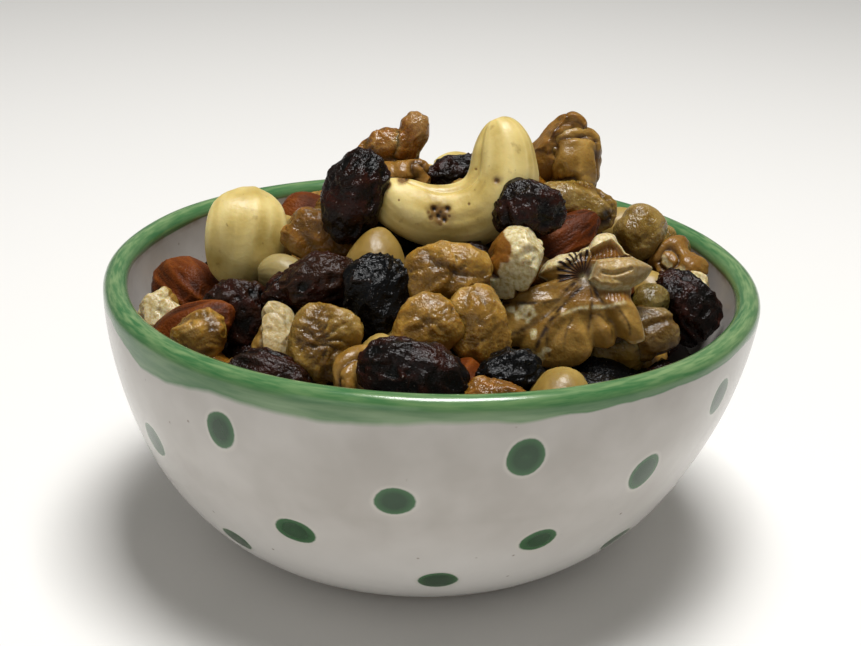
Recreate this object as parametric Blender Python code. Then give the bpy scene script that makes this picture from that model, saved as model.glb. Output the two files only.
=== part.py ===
"""A hand-made glazed bowl heaped with trail mix: raisins, sultanas, cashews, almonds, hazelnuts and walnuts.

Metres, +Z up. The origin is on the surface that the bowl stands on, under the middle of its rim.
The photograph's viewer stands at -Y. Two solids: the bowl, and the heap out to its uneven outline.
"""

import math

import bpy
import numpy as np

MM = 0.001

# The bowl, in millimetres
RIM_RADIUS = 60.0
BOWL_HEIGHT = 51.0
RIM_WALL = 4.4
FLOOR_HEIGHT = 6.0
BASE_RADIUS = 28.0
INNER_BASE_RADIUS = 22.0
WALL_RISE, WALL_SWEEP = 0.59, 1.54
FOOT_RING = 5.0
FOOT_RECESS = 0.9
LEAN = 2.3
RIM_WOBBLE = 0.35
WOBBLE_PHASE = 0.6
BOWL_SEGMENTS = 48
WALL_STEPS = 10
INNER_STEPS = 8
LIP_STEPS = 5
STEP_CROWDING = 1.7

# The heap, in millimetres
HEAP_GAP = 0.5
HEAP_EDGE = 32.0
HEAP_RISE = 34.0
HEAP_SPREAD = 34.0
HEAP_PEAK = (4.0, 5.0)
HEAP_DIP = 5.0
DIP_MIDDLE = (-46.0, 18.0)
DIP_SPREAD = 12.0
CORE_DEPTH = 3.5
CORE_REACH = 6.5
CORE_WALL_DEPTH = 4.5
CORE_SEGMENTS = 36
CORE_RINGS = 7
CORE_WALL_STEPS = 5

# The kinds of piece: length, width and thickness of a usual one, in millimetres
USUAL_SIZE = {
    "raisin": (13.5, 10.5, 8.0),
    "sultana": (13.0, 10.5, 7.5),
    "cashew": (22.0, 14.5, 9.5),
    "almond": (21.0, 12.0, 8.5),
    "hazelnut": (12.0, 11.5, 11.0),
    "walnut": (13.0, 11.5, 8.5),
}

# The pieces that the photograph shows. Each row has the kind, the middle (x, y, z), where its flat side
# faces (degrees round from the viewer, degrees up), its turn in the picture, its length, width and
# thickness, and its own number, which gives it its own lumps.
SHOWN_PIECES = (
    ("cashew", (3.5, -4, 67.0), (0, 20, 0), (29.0, 23.5, 11.5), 1),
    ("raisin", (-13.6, -8, 66.3), (-15, 15, 78), (17.0, 11.2, 9.5), 2),
    ("sultana", (-9.0, 13, 67.8), (5, 10, 20), (11.5, 10.5, 6.5), 3),
    ("sultana", (-4.9, 13.5, 71.0), (20, 10, 62), (10.5, 6.0, 6.0), 4),
    ("raisin", (3.2, 12, 64.6), (0, 20, 24), (13.5, 7.0, 7.5), 5),
    ("walnut", (22.1, 13, 70.3), (0, 15, 52), (15.5, 6.6, 6.5), 6),
    ("walnut", (26.4, 12, 68.0), (10, 20, 80), (13.0, 10.5, 8.5), 7),
    ("raisin", (16.5, -10, 65.2), (5, 22, 8), (13.0, 10.6, 9.5), 8),
    ("sultana", (26.1, 4, 61.8), (10, 35, -12), (15.0, 9.2, 7.5), 9),
    ("almond", (21.5, -4.5, 56.5), (-5, 40, 42), (21.5, 10.5, 8.5), 10),
    ("sultana", (40.0, 15, 53.5), (20, 25, 35), (10.4, 9.2, 8.5), 11),
    ("hazelnut", (37.2, 22, 51.3), (0, 30, 0), (10.5, 10.0, 9.5), 12),
    ("sultana", (44.5, 21, 47.8), (20, 30, 10), (12.0, 9.0, 8.0), 13),
    ("walnut", (50.5, 13, 47.3), (0, 30, -40), (10.8, 9.8, 8.5), 14),
    ("walnut", (50.0, 5, 45.2), (0, 30, -65), (8.0, 6.0, 6.0), 15),
    ("raisin", (46.5, -2, 45.2), (-10, 30, -48), (15.0, 11.5, 9.5), 16),
    ("sultana", (39.6, -6, 46.3), (0, 30, 70), (8.6, 7.0, 7.0), 17),
    ("hazelnut", (41.1, 1, 46.4), (0, 40, 0), (9.5, 9.0, 9.0), 18),
    ("walnut_half", (26.3, -20.5, 51.2), (0, 34, 0), (30.0, 26.5, 5.5), 19),
    ("walnut", (14.0, -17, 58.2), (-10, 25, 55), (12.5, 9.0, 8.0), 20),
    ("sultana", (2.2, -22, 56.6), (0, 28, 4), (16.5, 11.5, 8.5), 21),
    ("sultana", (-0.4, -33.5, 52.0), (-10, 30, 35), (12.0, 10.5, 8.0), 22),
    ("sultana", (8.6, -31, 51.8), (15, 30, 100), (13.5, 10.5, 8.5), 23),
    ("raisin", (-9.0, -25, 54.0), (0, 28, 75), (14.5, 12.0, 9.5), 24),
    ("hazelnut", (-9.8, -14, 56.6), (0, 25, 82), (12.5, 11.0, 10.5), 25),
    ("raisin", (-19.0, -20, 54.2), (0, 30, 18), (14.0, 10.0, 8.5), 26),
    ("raisin", (-25.5, -19.5, 51.6), (0, 25, 60), (9.5, 6.5, 6.5), 27),
    ("sultana", (-20.2, -6, 58.0), (0, 28, -18), (14.0, 10.5, 8.5), 28),
    ("cashew", (-34.2, -2, 55.8), (-80, 8, 98), (19.5, 13.5, 14.5), 29),
    ("almond", (-45.8, -2, 45.4), (-35, 35, 160), (15.5, 12.5, 10.5), 30),
    ("raisin", (-33.6, -18, 47.4), (0, 28, -38), (13.5, 11.5, 9.0), 31),
    ("sultana", (-38.6, -29.5, 47.6), (-10, 35, 25), (10.0, 8.8, 7.0), 32),
    ("almond", (-41.0, -22.5, 45.4), (-20, 30, 40), (17.0, 10.5, 8.0), 33),
    ("walnut", (-48.0, -13, 44.8), (-20, 30, -40), (9.5, 7.5, 7.0), 34),
    ("sultana", (-16.9, -37, 50.1), (0, 25, 70), (13.0, 12.4, 8.5), 35),
    ("raisin", (-25.6, -41.5, 45.4), (0, 35, -16), (15.0, 9.5, 8.0), 36),
    ("walnut", (-10.8, -43.5, 47.2), (0, 30, 65), (10.0, 7.0, 6.5), 37),
    ("hazelnut", (-8.0, -38, 47.4), (0, 30, 90), (10.5, 9.5, 9.5), 38),
    ("raisin", (-2.4, -46.5, 49.1), (0, 25, -13), (18.5, 10.5, 8.5), 39),
    ("raisin", (13.0, -40, 46.8), (0, 30, 20), (11.5, 8.5, 8.0), 40),
    ("sultana", (11.1, -48.5, 46.0), (0, 35, -8), (11.5, 7.5, 6.5), 41),
    ("hazelnut", (21.8, -44, 43.7), (0, 30, 80), (11.5, 11.0, 10.5), 42),
    ("sultana", (36.8, -15.2, 44.1), (0, 30, 17), (14.5, 10.2, 8.0), 43),
    ("raisin", (27.0, -33.0, 39.6), (0, 35, 10), (13.0, 10.0, 8.0), 44),
    ("cashew", (-26.4, -14, 48.0), (0, 40, 75), (17.0, 11.0, 8.0), 45),
    ("walnut", (-26.0, -28, 47.4), (0, 30, 80), (12.0, 6.5, 6.5), 46),
    ("almond", (-24.4, 27, 50.4), (0, 35, -4), (14.0, 10.0, 7.5), 47),
    ("sultana", (-20.6, 24, 51.8), (0, 35, 70), (11.0, 8.5, 7.5), 48),
    ("hazelnut", (-22.0, 7, 54.4), (0, 60, 20), (12.0, 10.0, 8.5), 49),
    ("sultana", (32.5, -15.6, 42.3), (0, 35, -14), (12.0, 9.0, 8.0), 50),
    ("walnut", (-6.0, 8, 64.6), (0, 25, 10), (11.0, 8.0, 7.0), 51),
)

# Gaps that the photograph shows between the pieces: the core sinks there, and nothing else is put there
SHOWN_GAPS = (
    (-5.8, -7.6, 60.0),
    (-18.7, 1.0, 57.0),
    (15.1, -25.4, 43.0),
    (24.0, -32.0, 39.0),
    (34.8, 9.3, 50.0),
    (34.0, -26.1, 40.0),
)

# The pieces that the photograph hides: one at each place of a jittered grid that is still free
GRID_STEP = 9.8
GRID_JITTER = 1.2
FREE_DISTANCE = 6.8
FILL_RADIUS = 49.0
FILL_LIFT = -0.6
FILL_SEED = 7
FILL_NUMBERS = 100
FILL_SHARES = {
    "raisin": 0.32,
    "sultana": 0.30,
    "cashew": 0.08,
    "almond": 0.10,
    "hazelnut": 0.08,
    "walnut": 0.12,
}
FILL_SIZE_RANGE = (0.88, 1.1)
FILL_FACING_UP = 78
FILL_LEAN = 25
ROW_SPACING = 0.87

# How finely each kind is faceted: rows from end to end, and sides round. Hidden pieces have one fewer of both
FACETS = {
    "raisin": (6, 7),
    "sultana": (6, 7),
    "cashew": (8, 8),
    "almond": (6, 8),
    "hazelnut": (6, 7),
    "walnut": (6, 8),
}
HALF_SIDES, HALF_RINGS = 30, 3

# The cashew's centre line is a cubic curve, in shares of its length; a natural one is 0.8 as wide as long
CASHEW_BEND = ((-0.43, 0.05), (-0.33, -0.30), (0.55, -0.27), (0.24, 0.44))
CASHEW_NATURAL = 0.80
CASHEW_BODY = 0.205
CASHEW_ENDS = (5.0, 0.42)
# The walnut half's outline seen from its flat side: degrees and shares of its length, round its stem
WALNUT_STEM = (0.0, 0.20)
WALNUT_OUTLINE = (
    (11, 0.42), (20, 0.36), (33, 0.30), (48, 0.30), (60, 0.33), (72, 0.29), (82, 0.20), (100, 0.16),
    (120, 0.18), (140, 0.21), (160, 0.24), (177, 0.26), (186, 0.21), (195, 0.45), (208, 0.56), (222, 0.64),
    (229, 0.55), (244, 0.58), (259, 0.54), (269, 0.51), (280, 0.40), (290, 0.43), (301, 0.39), (308, 0.48),
    (317, 0.51), (328, 0.39), (341, 0.30), (352, 0.30),
)  # fmt: skip

COLOURS = {"bowl": (0.62, 0.60, 0.57), "trail_mix": (0.24, 0.11, 0.05)}
ROUGHNESS = {"bowl": 0.25, "trail_mix": 0.45}


def outer_radius(share):
    """The outer wall's radius at a share of its height: wide and round below, steep at the rim."""
    return RIM_RADIUS - (RIM_RADIUS - BASE_RADIUS) * (1 - share**WALL_RISE) ** WALL_SWEEP


def inner_radius(height):
    """The inner wall's radius at a height above the table."""
    top = BOWL_HEIGHT - RIM_WALL / 2
    share = np.clip((height - FLOOR_HEIGHT) / (top - FLOOR_HEIGHT), 0, 1)
    edge = RIM_RADIUS - RIM_WALL
    return edge - (edge - INNER_BASE_RADIUS) * (1 - share**WALL_RISE) ** WALL_SWEEP


def axis_shift(height):
    """The base sits a little to the left of the rim, so each ring's middle does too."""
    return -LEAN * (1 - height / BOWL_HEIGHT)


def bowl_profile():
    """(radius, height) from the middle of the foot, up the outside, over the lip and down to the floor."""
    lip = RIM_WALL / 2
    top = BOWL_HEIGHT - lip
    points = [(BASE_RADIUS - FOOT_RING - FOOT_RECESS, FOOT_RECESS), (BASE_RADIUS - FOOT_RING, 0.0)]
    for step in range(WALL_STEPS + 1):
        share = (step / WALL_STEPS) ** STEP_CROWDING
        points.append((outer_radius(share), share * top))
    for step in range(1, LIP_STEPS + 1):
        turn = math.pi * step / (LIP_STEPS + 1)
        points.append((RIM_RADIUS - lip + lip * math.cos(turn), top + lip * math.sin(turn)))
    for step in range(INNER_STEPS, -1, -1):
        height = FLOOR_HEIGHT + (step / INNER_STEPS) ** STEP_CROWDING * (top - FLOOR_HEIGHT)
        points.append((float(inner_radius(height)), height))
    return points


def lathe(profile, segments, foot, crown):
    """Vertices and faces of a turned solid, closed by one point at the foot and one at the crown."""
    turns = np.arange(segments) * 2 * math.pi / segments
    wobble = 1 + RIM_WOBBLE / RIM_RADIUS * np.sin(2 * turns + WOBBLE_PHASE)
    rings = []
    for radius, height in profile:
        x = axis_shift(height) + radius * wobble * np.sin(turns)
        y = -radius * wobble * np.cos(turns)
        rings.append(np.stack([x, y, np.full(segments, height)], 1))
    return close_rings(np.array(rings), (axis_shift(foot), 0, foot), (axis_shift(crown), 0, crown))


def close_rings(rings, first, last):
    """A closed skin over rings of points, from one end point to the other."""
    rows, sides = rings.shape[:2]
    points = np.concatenate([rings.reshape(-1, 3), np.array([first, last], float)])
    index = np.arange(rows * sides).reshape(rows, sides)
    after = np.roll(index, -1, axis=1)
    faces = []
    for row in range(rows - 1):
        here, there = index[row], index[row + 1]
        here_next, there_next = after[row], after[row + 1]
        for side in range(sides):
            faces.append((here[side], here_next[side], there_next[side]))
            faces.append((here[side], there_next[side], there[side]))
    faces += [(rows * sides, after[0][side], index[0][side]) for side in range(sides)]
    faces += [(rows * sides + 1, index[-1][side], after[-1][side]) for side in range(sides)]
    return points, faces


def facets(kind, number):
    """The rows and sides of one piece: fewer on those that the photograph doesn't show."""
    rows, sides = FACETS[kind]
    return (rows - 1, sides - 1) if number >= FILL_NUMBERS else (rows, sides)


def oval_rings(rows, sides, blunt):
    """Rings of a unit egg lying along X: station, angle round it, and the ring's radius."""
    turn = np.linspace(0, math.pi, rows + 1)[1:-1]
    station, angle = np.meshgrid(turn, np.arange(sides) * 2 * math.pi / sides, indexing="ij")
    return -np.cos(station), angle, np.sin(station) ** blunt


def lumpy_oval(size, number, kind, blunt, depth):
    """A dried fruit or a walnut piece: an oval with a few broad lumps that its number gives it."""
    rng = np.random.default_rng(number)
    along, angle, radius = oval_rings(*facets(kind, number), blunt)
    waves = zip(rng.integers(1, 4, 4), rng.uniform(1.5, 4.5, 4), rng.uniform(0, 2 * math.pi, 4))
    lumps = sum(np.sin(n * angle + k * along + shift) for n, k, shift in waves)
    radius = radius * (1 + depth * lumps / 2)
    bow = 0.10 * (1 - along**2)
    rings = np.stack([along, radius * np.cos(angle) + bow, radius * np.sin(angle)], -1) * np.array(size) / 2
    ends = np.array([(-1, 0, 0), (1, 0, 0)]) * np.array(size) / 2
    return close_rings(rings, ends[0], ends[1])


def almond(size, number):
    """An almond: a flat oval, blunt at one end and pointed at the other."""
    along, angle, radius = oval_rings(*facets("almond", number), 0.85)
    radius = radius * (1 - 0.22 * along - 0.10 * along**2)
    rings = np.stack([along, radius * np.cos(angle), radius * np.sin(angle)], -1) * np.array(size) / 2
    ends = np.array([(-1, 0, 0), (1.03, 0, 0)]) * np.array(size) / 2
    return close_rings(rings, ends[0], ends[1])


def hazelnut(size, number):
    """A skinned hazelnut: nearly round, with a soft point at one end."""
    along, angle, radius = oval_rings(*facets("hazelnut", number), 0.95)
    radius = radius * (1 - 0.13 * along)
    rings = np.stack([along, radius * np.cos(angle), radius * np.sin(angle)], -1) * np.array(size) / 2
    ends = np.array([(-0.96, 0, 0), (1.08, 0, 0)]) * np.array(size) / 2
    return close_rings(rings, ends[0], ends[1])


def cashew(size, number):
    """A cashew: an oval section carried along a hooked centre line, fuller at its far lobe."""
    rows, sides = facets("cashew", number)
    share = (1 - np.cos(np.linspace(0, math.pi, rows + 1)[1:-1])) / 2
    control = np.array(CASHEW_BEND) * size[0]
    path = sum(
        math.comb(3, k) * (share**k * (1 - share) ** (3 - k))[:, None] * control[k] for k in range(4)
    )
    heading = sum(
        3 * math.comb(2, k) * (share**k * (1 - share) ** (2 - k))[:, None] * (control[k + 1] - control[k])
        for k in range(3)
    )
    heading = heading / np.linalg.norm(heading, axis=1, keepdims=True)
    side = np.stack([-heading[:, 1], heading[:, 0]], 1)
    ends_round = (1 - abs(2 * share - 1) ** CASHEW_ENDS[0]) ** CASHEW_ENDS[1]
    half = CASHEW_BODY * size[0] * ends_round * (0.86 + 0.24 * share)
    angle = np.arange(sides) * 2 * math.pi / sides
    flat = path[:, None, :] + side[:, None, :] * (half[:, None] * np.cos(angle))[..., None]
    deep = (ends_round * size[2] / 2)[:, None] * np.sin(angle)
    rings = np.concatenate([flat, deep[..., None]], -1)
    stretch = np.array([1, size[1] / size[0] / CASHEW_NATURAL, 1])
    start, finish = np.array([*control[0], 0]), np.array([*control[3], 0])
    return close_rings(rings * stretch, start * stretch, finish * stretch)


def walnut_half(size, number):
    """Half a walnut, flat side up: a thin wavy fan round its stem, with lobes along its edge."""
    degrees = np.arange(HALF_SIDES) * 360 / HALF_SIDES + 5
    known = np.array(WALNUT_OUTLINE)
    edge = np.interp(degrees, known[:, 0], known[:, 1], period=360) * size[0]
    angle = np.radians(degrees)
    rings = []
    for face in (-1, 1):
        shares = np.linspace(0, 1, HALF_RINGS + 1)[1:]
        for share in shares if face < 0 else shares[::-1]:
            puff = math.sin(math.pi * min(share * 1.15, 1)) * 0.5 + 0.35
            height = face * size[2] * 0.5 * puff - 2.6 * share**2 + 0.5 * np.sin(5 * angle)
            radius = edge * (share if share < 1 else 1 - 0.02 * (1 - face))
            rings.append(np.stack([radius * np.cos(angle), radius * np.sin(angle), height], 1))
    middle = size[2] * 0.1
    points, faces = close_rings(np.array(rings), (0, 0, -middle - 1), (0, 0, middle))
    return points + np.array([WALNUT_STEM[0] * size[0], WALNUT_STEM[1] * size[0], 0]), faces


def piece_form(kind, size, number):
    """The faceted form of one piece about its own middle, long side along X and flat side along Z."""
    if kind == "raisin":
        return lumpy_oval(size, number, kind, 0.80, 0.10)
    if kind == "sultana":
        return lumpy_oval(size, number, kind, 0.72, 0.08)
    if kind == "walnut":
        return lumpy_oval(size, number, kind, 0.70, 0.20)
    forms = {"almond": almond, "hazelnut": hazelnut, "cashew": cashew, "walnut_half": walnut_half}
    return forms[kind](size, number)


def facing_axes(facing, turn):
    """The piece's three axes: its flat side faces round and up by these degrees, and its length is turned."""
    round_by, up_by = np.radians(facing)
    flat = np.array(
        [math.sin(round_by) * math.cos(up_by), -math.cos(round_by) * math.cos(up_by), math.sin(up_by)]
    )
    right = np.array([math.cos(round_by), math.sin(round_by), 0.0])
    upward = np.cross(flat, right)
    long_way = math.cos(math.radians(turn)) * right + math.sin(math.radians(turn)) * upward
    return np.stack([long_way, np.cross(flat, long_way), flat])


def overshoot(points):
    """How far a piece reaches past the bowl's inner wall, less the gap that it keeps."""
    height = points[:, 2]
    from_axis = np.hypot(points[:, 0] - axis_shift(height), points[:, 1])
    inside = height < BOWL_HEIGHT + HEAP_GAP
    limit = inner_radius(height) - HEAP_GAP - RIM_WOBBLE
    return max(0.0, float(np.where(inside, from_axis - limit, 0).max()))


def set_down(kind, middle, facing, turn, size, number):
    """One piece in its place. A piece that would cross the bowl's wall moves in towards the middle."""
    points, faces = piece_form(kind, size, number)
    points = points @ facing_axes(facing, turn) + np.array(middle)
    for _ in range(3):
        inward = -points.mean(0) * (1, 1, 0)
        points = points + inward / np.linalg.norm(inward) * overshoot(points)
    return points, faces


def heap_height(x, y):
    """The height of the mound through the middles of its top layer of pieces."""
    from_peak = (x - HEAP_PEAK[0]) ** 2 + (y - HEAP_PEAK[1]) ** 2
    from_dip = (x - DIP_MIDDLE[0]) ** 2 + (y - DIP_MIDDLE[1]) ** 2
    mound = HEAP_EDGE + HEAP_RISE * np.exp(-from_peak / (2 * HEAP_SPREAD**2))
    return mound - HEAP_DIP * np.exp(-from_dip / (2 * DIP_SPREAD**2))


def core_height(x, y, middles):
    """The core's top: it runs just under the middles of the pieces near by, and so it is uneven."""
    reach = np.hypot(x[:, None] - middles[:, 0], y[:, None] - middles[:, 1])
    weight = np.exp(-((reach / CORE_REACH) ** 2) / 2)
    mound = 0.05 * heap_height(x, y)
    return ((weight * middles[:, 2]).sum(1) + mound) / (weight.sum(1) + 0.05) - CORE_DEPTH


def heap_core(middles):
    """The heap's core: the bowl's hollow, and an uneven mound under the pieces that show."""
    turns = np.arange(CORE_SEGMENTS) * 2 * math.pi / CORE_SEGMENTS
    brim = HEAP_EDGE - CORE_WALL_DEPTH
    floor = FLOOR_HEIGHT + HEAP_GAP
    rings = []
    for step in range(CORE_WALL_STEPS + 1):
        height = floor + (step / CORE_WALL_STEPS) ** 1.4 * (brim - floor)
        reach = float(inner_radius(height - HEAP_GAP)) - 2 * HEAP_GAP
        rings.append((reach, np.full(CORE_SEGMENTS, height)))
    for step in range(1, CORE_RINGS + 1):
        reach = rings[CORE_WALL_STEPS][0] * (1 - step / (CORE_RINGS + 1))
        rings.append((reach, core_height(reach * np.sin(turns), -reach * np.cos(turns), middles)))
    points = [
        np.stack([axis_shift(h) + reach * np.sin(turns), -reach * np.cos(turns), h], 1) for reach, h in rings
    ]
    crown = (0, 0, float(core_height(np.zeros(1), np.zeros(1), middles)[0]))
    return close_rings(np.array(points), (axis_shift(floor), 0, floor), crown)


def filling_pieces():
    """Rows like those of SHOWN_PIECES for the part of the heap that the photograph doesn't show."""
    rng = np.random.default_rng(FILL_SEED)
    taken = [row[1] for row in SHOWN_PIECES] + list(SHOWN_GAPS)
    kinds = list(FILL_SHARES)
    rows = []
    steps = int(FILL_RADIUS / GRID_STEP) + 2
    for line in range(-steps, steps + 1):
        for place in range(-steps, steps + 1):
            x = (place + 0.5 * (line % 2)) * GRID_STEP + rng.uniform(-GRID_JITTER, GRID_JITTER)
            y = line * GRID_STEP * ROW_SPACING + rng.uniform(-GRID_JITTER, GRID_JITTER)
            kind = str(rng.choice(kinds, p=list(FILL_SHARES.values())))
            scale = rng.uniform(*FILL_SIZE_RANGE)
            lean = rng.uniform(-FILL_LEAN, FILL_LEAN)
            turn, spin = rng.uniform(0, 360, 2)
            if math.hypot(x, y) > FILL_RADIUS:
                continue
            if min(math.hypot(x - other[0], y - other[1]) for other in taken) < FREE_DISTANCE:
                continue
            size = tuple(scale * side for side in USUAL_SIZE[kind])
            middle = (x, y, float(heap_height(x, y)) + FILL_LIFT)
            rows.append((kind, middle, (spin, FILL_FACING_UP + lean, turn), size, FILL_NUMBERS + len(rows)))
            taken.append(middle)
    return rows


def new_object(name, points, faces):
    """An object of plain triangles, from points in millimetres."""
    mesh = bpy.data.meshes.new(name)
    mesh.from_pydata([tuple(p) for p in np.asarray(points) * MM], [], [tuple(map(int, f)) for f in faces])
    mesh.update()
    made = bpy.data.objects.new(name, mesh)
    return made


def material(name):
    made = bpy.data.materials.new(name)
    made.use_nodes = True
    shader = made.node_tree.nodes["Principled BSDF"]
    shader.inputs["Base Color"].default_value = (*COLOURS[name], 1.0)
    shader.inputs["Roughness"].default_value = ROUGHNESS[name]
    shader.inputs["Metallic"].default_value = 0.0
    return made


def make_bowl():
    profile = bowl_profile()
    points, faces = lathe(profile, BOWL_SEGMENTS, FOOT_RECESS, FLOOR_HEIGHT)
    bowl = new_object("bowl", points, faces)
    bpy.context.scene.collection.objects.link(bowl)
    bowl.data.materials.append(material("bowl"))
    return bowl


def largest_shell(mesh):
    """Keeps the outer skin: drops loose scraps, and the walls of any hollow that the joining sealed."""
    points = np.zeros(len(mesh.vertices) * 3)
    mesh.vertices.foreach_get("co", points)
    points = points.reshape(-1, 3)
    mesh.calc_loop_triangles()
    triangles = np.array([t.vertices[:] for t in mesh.loop_triangles])
    shell = np.arange(len(points))
    while True:
        lowest = shell[triangles].min(1)
        before = shell.copy()
        for corner in range(3):
            np.minimum.at(shell, triangles[:, corner], lowest)
        shell = shell[shell]
        if (shell == before).all():
            break
    owner = shell[triangles[:, 0]]
    a, b, c = (points[triangles[:, k]] for k in range(3))
    volume = np.einsum("ij,ij->i", a, np.cross(b, c)) / 6
    shells = {s: volume[owner == s].sum() for s in np.unique(owner)}
    kept = max(shells, key=shells.get)
    used, faces = np.unique(triangles[owner == kept], return_inverse=True)
    return points[used] / MM, faces.reshape(-1, 3)


def make_heap():
    """The core with every piece of the top layer fused on, as one closed solid."""
    rows = list(SHOWN_PIECES) + filling_pieces()
    middles = [row[1] for row in rows] + list(SHOWN_GAPS)
    core = new_object("trail_mix_core", *heap_core(np.array(middles)))
    bpy.context.scene.collection.objects.link(core)
    top_layer = bpy.data.collections.new("top_layer")
    bpy.context.scene.collection.children.link(top_layer)
    for kind, middle, (round_by, up_by, turn), size, number in rows:
        points, faces = set_down(kind, middle, (round_by, up_by), turn, size, number)
        top_layer.objects.link(new_object(f"{kind}_{number}", points, faces))
    joining = core.modifiers.new("fuse", "BOOLEAN")
    joining.operation = "UNION"
    joining.operand_type = "COLLECTION"
    joining.collection = top_layer
    joining.solver = "MANIFOLD"
    fused = bpy.data.meshes.new_from_object(core.evaluated_get(bpy.context.evaluated_depsgraph_get()))
    heap = new_object("trail_mix", *largest_shell(fused))
    bpy.context.scene.collection.objects.link(heap)
    heap.data.materials.append(material("trail_mix"))
    for helper in [core, *top_layer.objects]:
        bpy.data.objects.remove(helper)
    bpy.data.collections.remove(top_layer)
    return heap


def main():
    for thing in list(bpy.data.objects):
        bpy.data.objects.remove(thing)
    make_bowl()
    make_heap()


main()
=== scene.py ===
import math
from itertools import product

import bpy
import numpy as np
from mathutils import Matrix, Vector


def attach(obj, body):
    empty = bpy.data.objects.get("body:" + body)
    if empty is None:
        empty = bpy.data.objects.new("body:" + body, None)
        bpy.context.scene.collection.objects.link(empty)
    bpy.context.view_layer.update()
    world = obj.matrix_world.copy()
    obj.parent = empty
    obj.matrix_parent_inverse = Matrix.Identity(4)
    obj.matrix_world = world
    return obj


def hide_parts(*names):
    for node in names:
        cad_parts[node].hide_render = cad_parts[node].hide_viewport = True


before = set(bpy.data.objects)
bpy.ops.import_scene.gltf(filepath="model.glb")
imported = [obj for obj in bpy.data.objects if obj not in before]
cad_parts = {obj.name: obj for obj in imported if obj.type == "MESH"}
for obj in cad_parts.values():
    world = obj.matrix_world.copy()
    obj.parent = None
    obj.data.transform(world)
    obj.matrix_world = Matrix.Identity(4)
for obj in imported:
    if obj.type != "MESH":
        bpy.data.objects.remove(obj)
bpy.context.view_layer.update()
mm = 0.001  # shapes below are worked out in millimetres

print("stage: shared tools")

noiseTable = np.random.default_rng(11).random((32, 32, 32))


# Soft noise from 0 to 1: table values blended smoothly between cells, one cell for each period in mm
def softNoise(points, period, shift):
    place = np.asarray(points) / period + np.array([7.31, 3.77, 5.13]) * (shift % 97)
    cell = np.floor(place).astype(int)
    part = place - cell
    part = part * part * (3 - 2 * part)
    total = 0
    for corner in product((0, 1), repeat=3):
        weight = np.prod(np.where(corner, part, 1 - part), axis=-1)
        x, y, z = (np.mod(cell[..., k] + corner[k], 32) for k in range(3))
        total = total + weight * noiseTable[x, y, z]
    return total


# Narrow meandering lines: 1 where the noise passes its middle value, falling to 0 on both sides
def crestLines(points, period, shift, sharp=3.2):
    return 1 - np.clip(abs(2 * softNoise(points, period, shift) - 1) * sharp, 0, 1)


def xyz(x, y, z):
    return np.stack([x, y, z], -1)


# A bell: 1 where the distance is none, almost 0 at twice the width
def bell(distance, width):
    return np.exp(-((distance / width) ** 2))


# A straight rise from 0 at a low value to 1 at a width above it
def rise(value, low, width):
    return np.clip((value - low) / width, 0, 1)


# Closes a grid of rings (rows, sides, 3) with one point at each end, all in triangles
def closedSkin(rings, first, last):
    rows, sides = rings.shape[:2]
    index = np.arange(rows * sides).reshape(rows, sides)
    after = np.roll(index, -1, axis=1)
    here, there = index[:-1].ravel(), index[1:].ravel()
    hereNext, thereNext = after[:-1].ravel(), after[1:].ravel()
    start, end = np.full(sides, rows * sides), np.full(sides, rows * sides + 1)
    triangles = np.concatenate([
        np.stack([here, hereNext, thereNext], 1),
        np.stack([here, thereNext, there], 1),
        np.stack([start, after[0], index[0]], 1),
        np.stack([end, index[-1], after[-1]], 1),
    ])
    return np.concatenate([rings.reshape(-1, 3), [first, last]]), triangles


# Values for each point of a grid of rings, with the mean of the first and the last ring for the two ends
def closedValues(values):
    return {label: np.append(v.ravel(), [v[0].mean(), v[-1].mean()]) for label, v in values.items()}


# Writes points in mm, triangles and named values for each point into a smooth mesh object at the origin
def meshPiece(name, points, triangles, values, material):
    mesh = bpy.data.meshes.new(name)
    mesh.vertices.add(len(points))
    mesh.vertices.foreach_set("co", (points * mm).astype(np.float32).ravel())
    mesh.loops.add(triangles.size)
    mesh.loops.foreach_set("vertex_index", triangles.astype(np.int32).ravel())
    mesh.polygons.add(len(triangles))
    mesh.polygons.foreach_set("loop_start", np.arange(0, triangles.size, 3, dtype=np.int32))
    mesh.polygons.foreach_set("use_smooth", np.ones(len(triangles), dtype=bool))
    mesh.update(calc_edges=True)
    mesh.validate()
    for label, numbers in values.items():
        flat = np.asarray(numbers, dtype=np.float32).ravel()
        isVector = len(flat) == 3 * len(points)
        layer = mesh.attributes.new(label, "FLOAT_VECTOR" if isVector else "FLOAT", "POINT")
        layer.data.foreach_set("vector" if isVector else "value", flat)
    piece = bpy.data.objects.new(name, mesh)
    bpy.context.scene.collection.objects.link(piece)
    mesh.materials.append(material)
    return piece


# An sRGB hex value as a linear colour
def hexColour(text):
    shares = [int(text[k:k + 2], 16) / 255 for k in (1, 3, 5)]
    return (*(s / 12.92 if s <= 0.04045 else ((s + 0.055) / 1.055) ** 2.4 for s in shares), 1.0)


# Sets a shader node's inputs, by name or number, to values or sockets
def setInputs(tree, node, inputs):
    for label, value in inputs.items():
        if isinstance(value, bpy.types.NodeSocket):
            tree.links.new(value, node.inputs[label])
        else:
            node.inputs[label].default_value = value
    return node


# Adds a shader node with its inputs and its own settings
def addNode(tree, kind, inputs, **settings):
    node = tree.nodes.new("ShaderNode" + kind)
    for label, value in settings.items():
        setattr(node, label, value)
    return setInputs(tree, node, inputs)


def noiseFrom(tree, place, scale, detail=3):
    return addNode(tree, "TexNoise", {"Vector": place, "Scale": scale, "Detail": detail}).outputs["Fac"]


# The named values of a mesh as shader sockets
def meshValues(tree, labels):
    return {label: addNode(tree, "Attribute", {}, attribute_name=label).outputs["Fac"] for label in labels}


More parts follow.
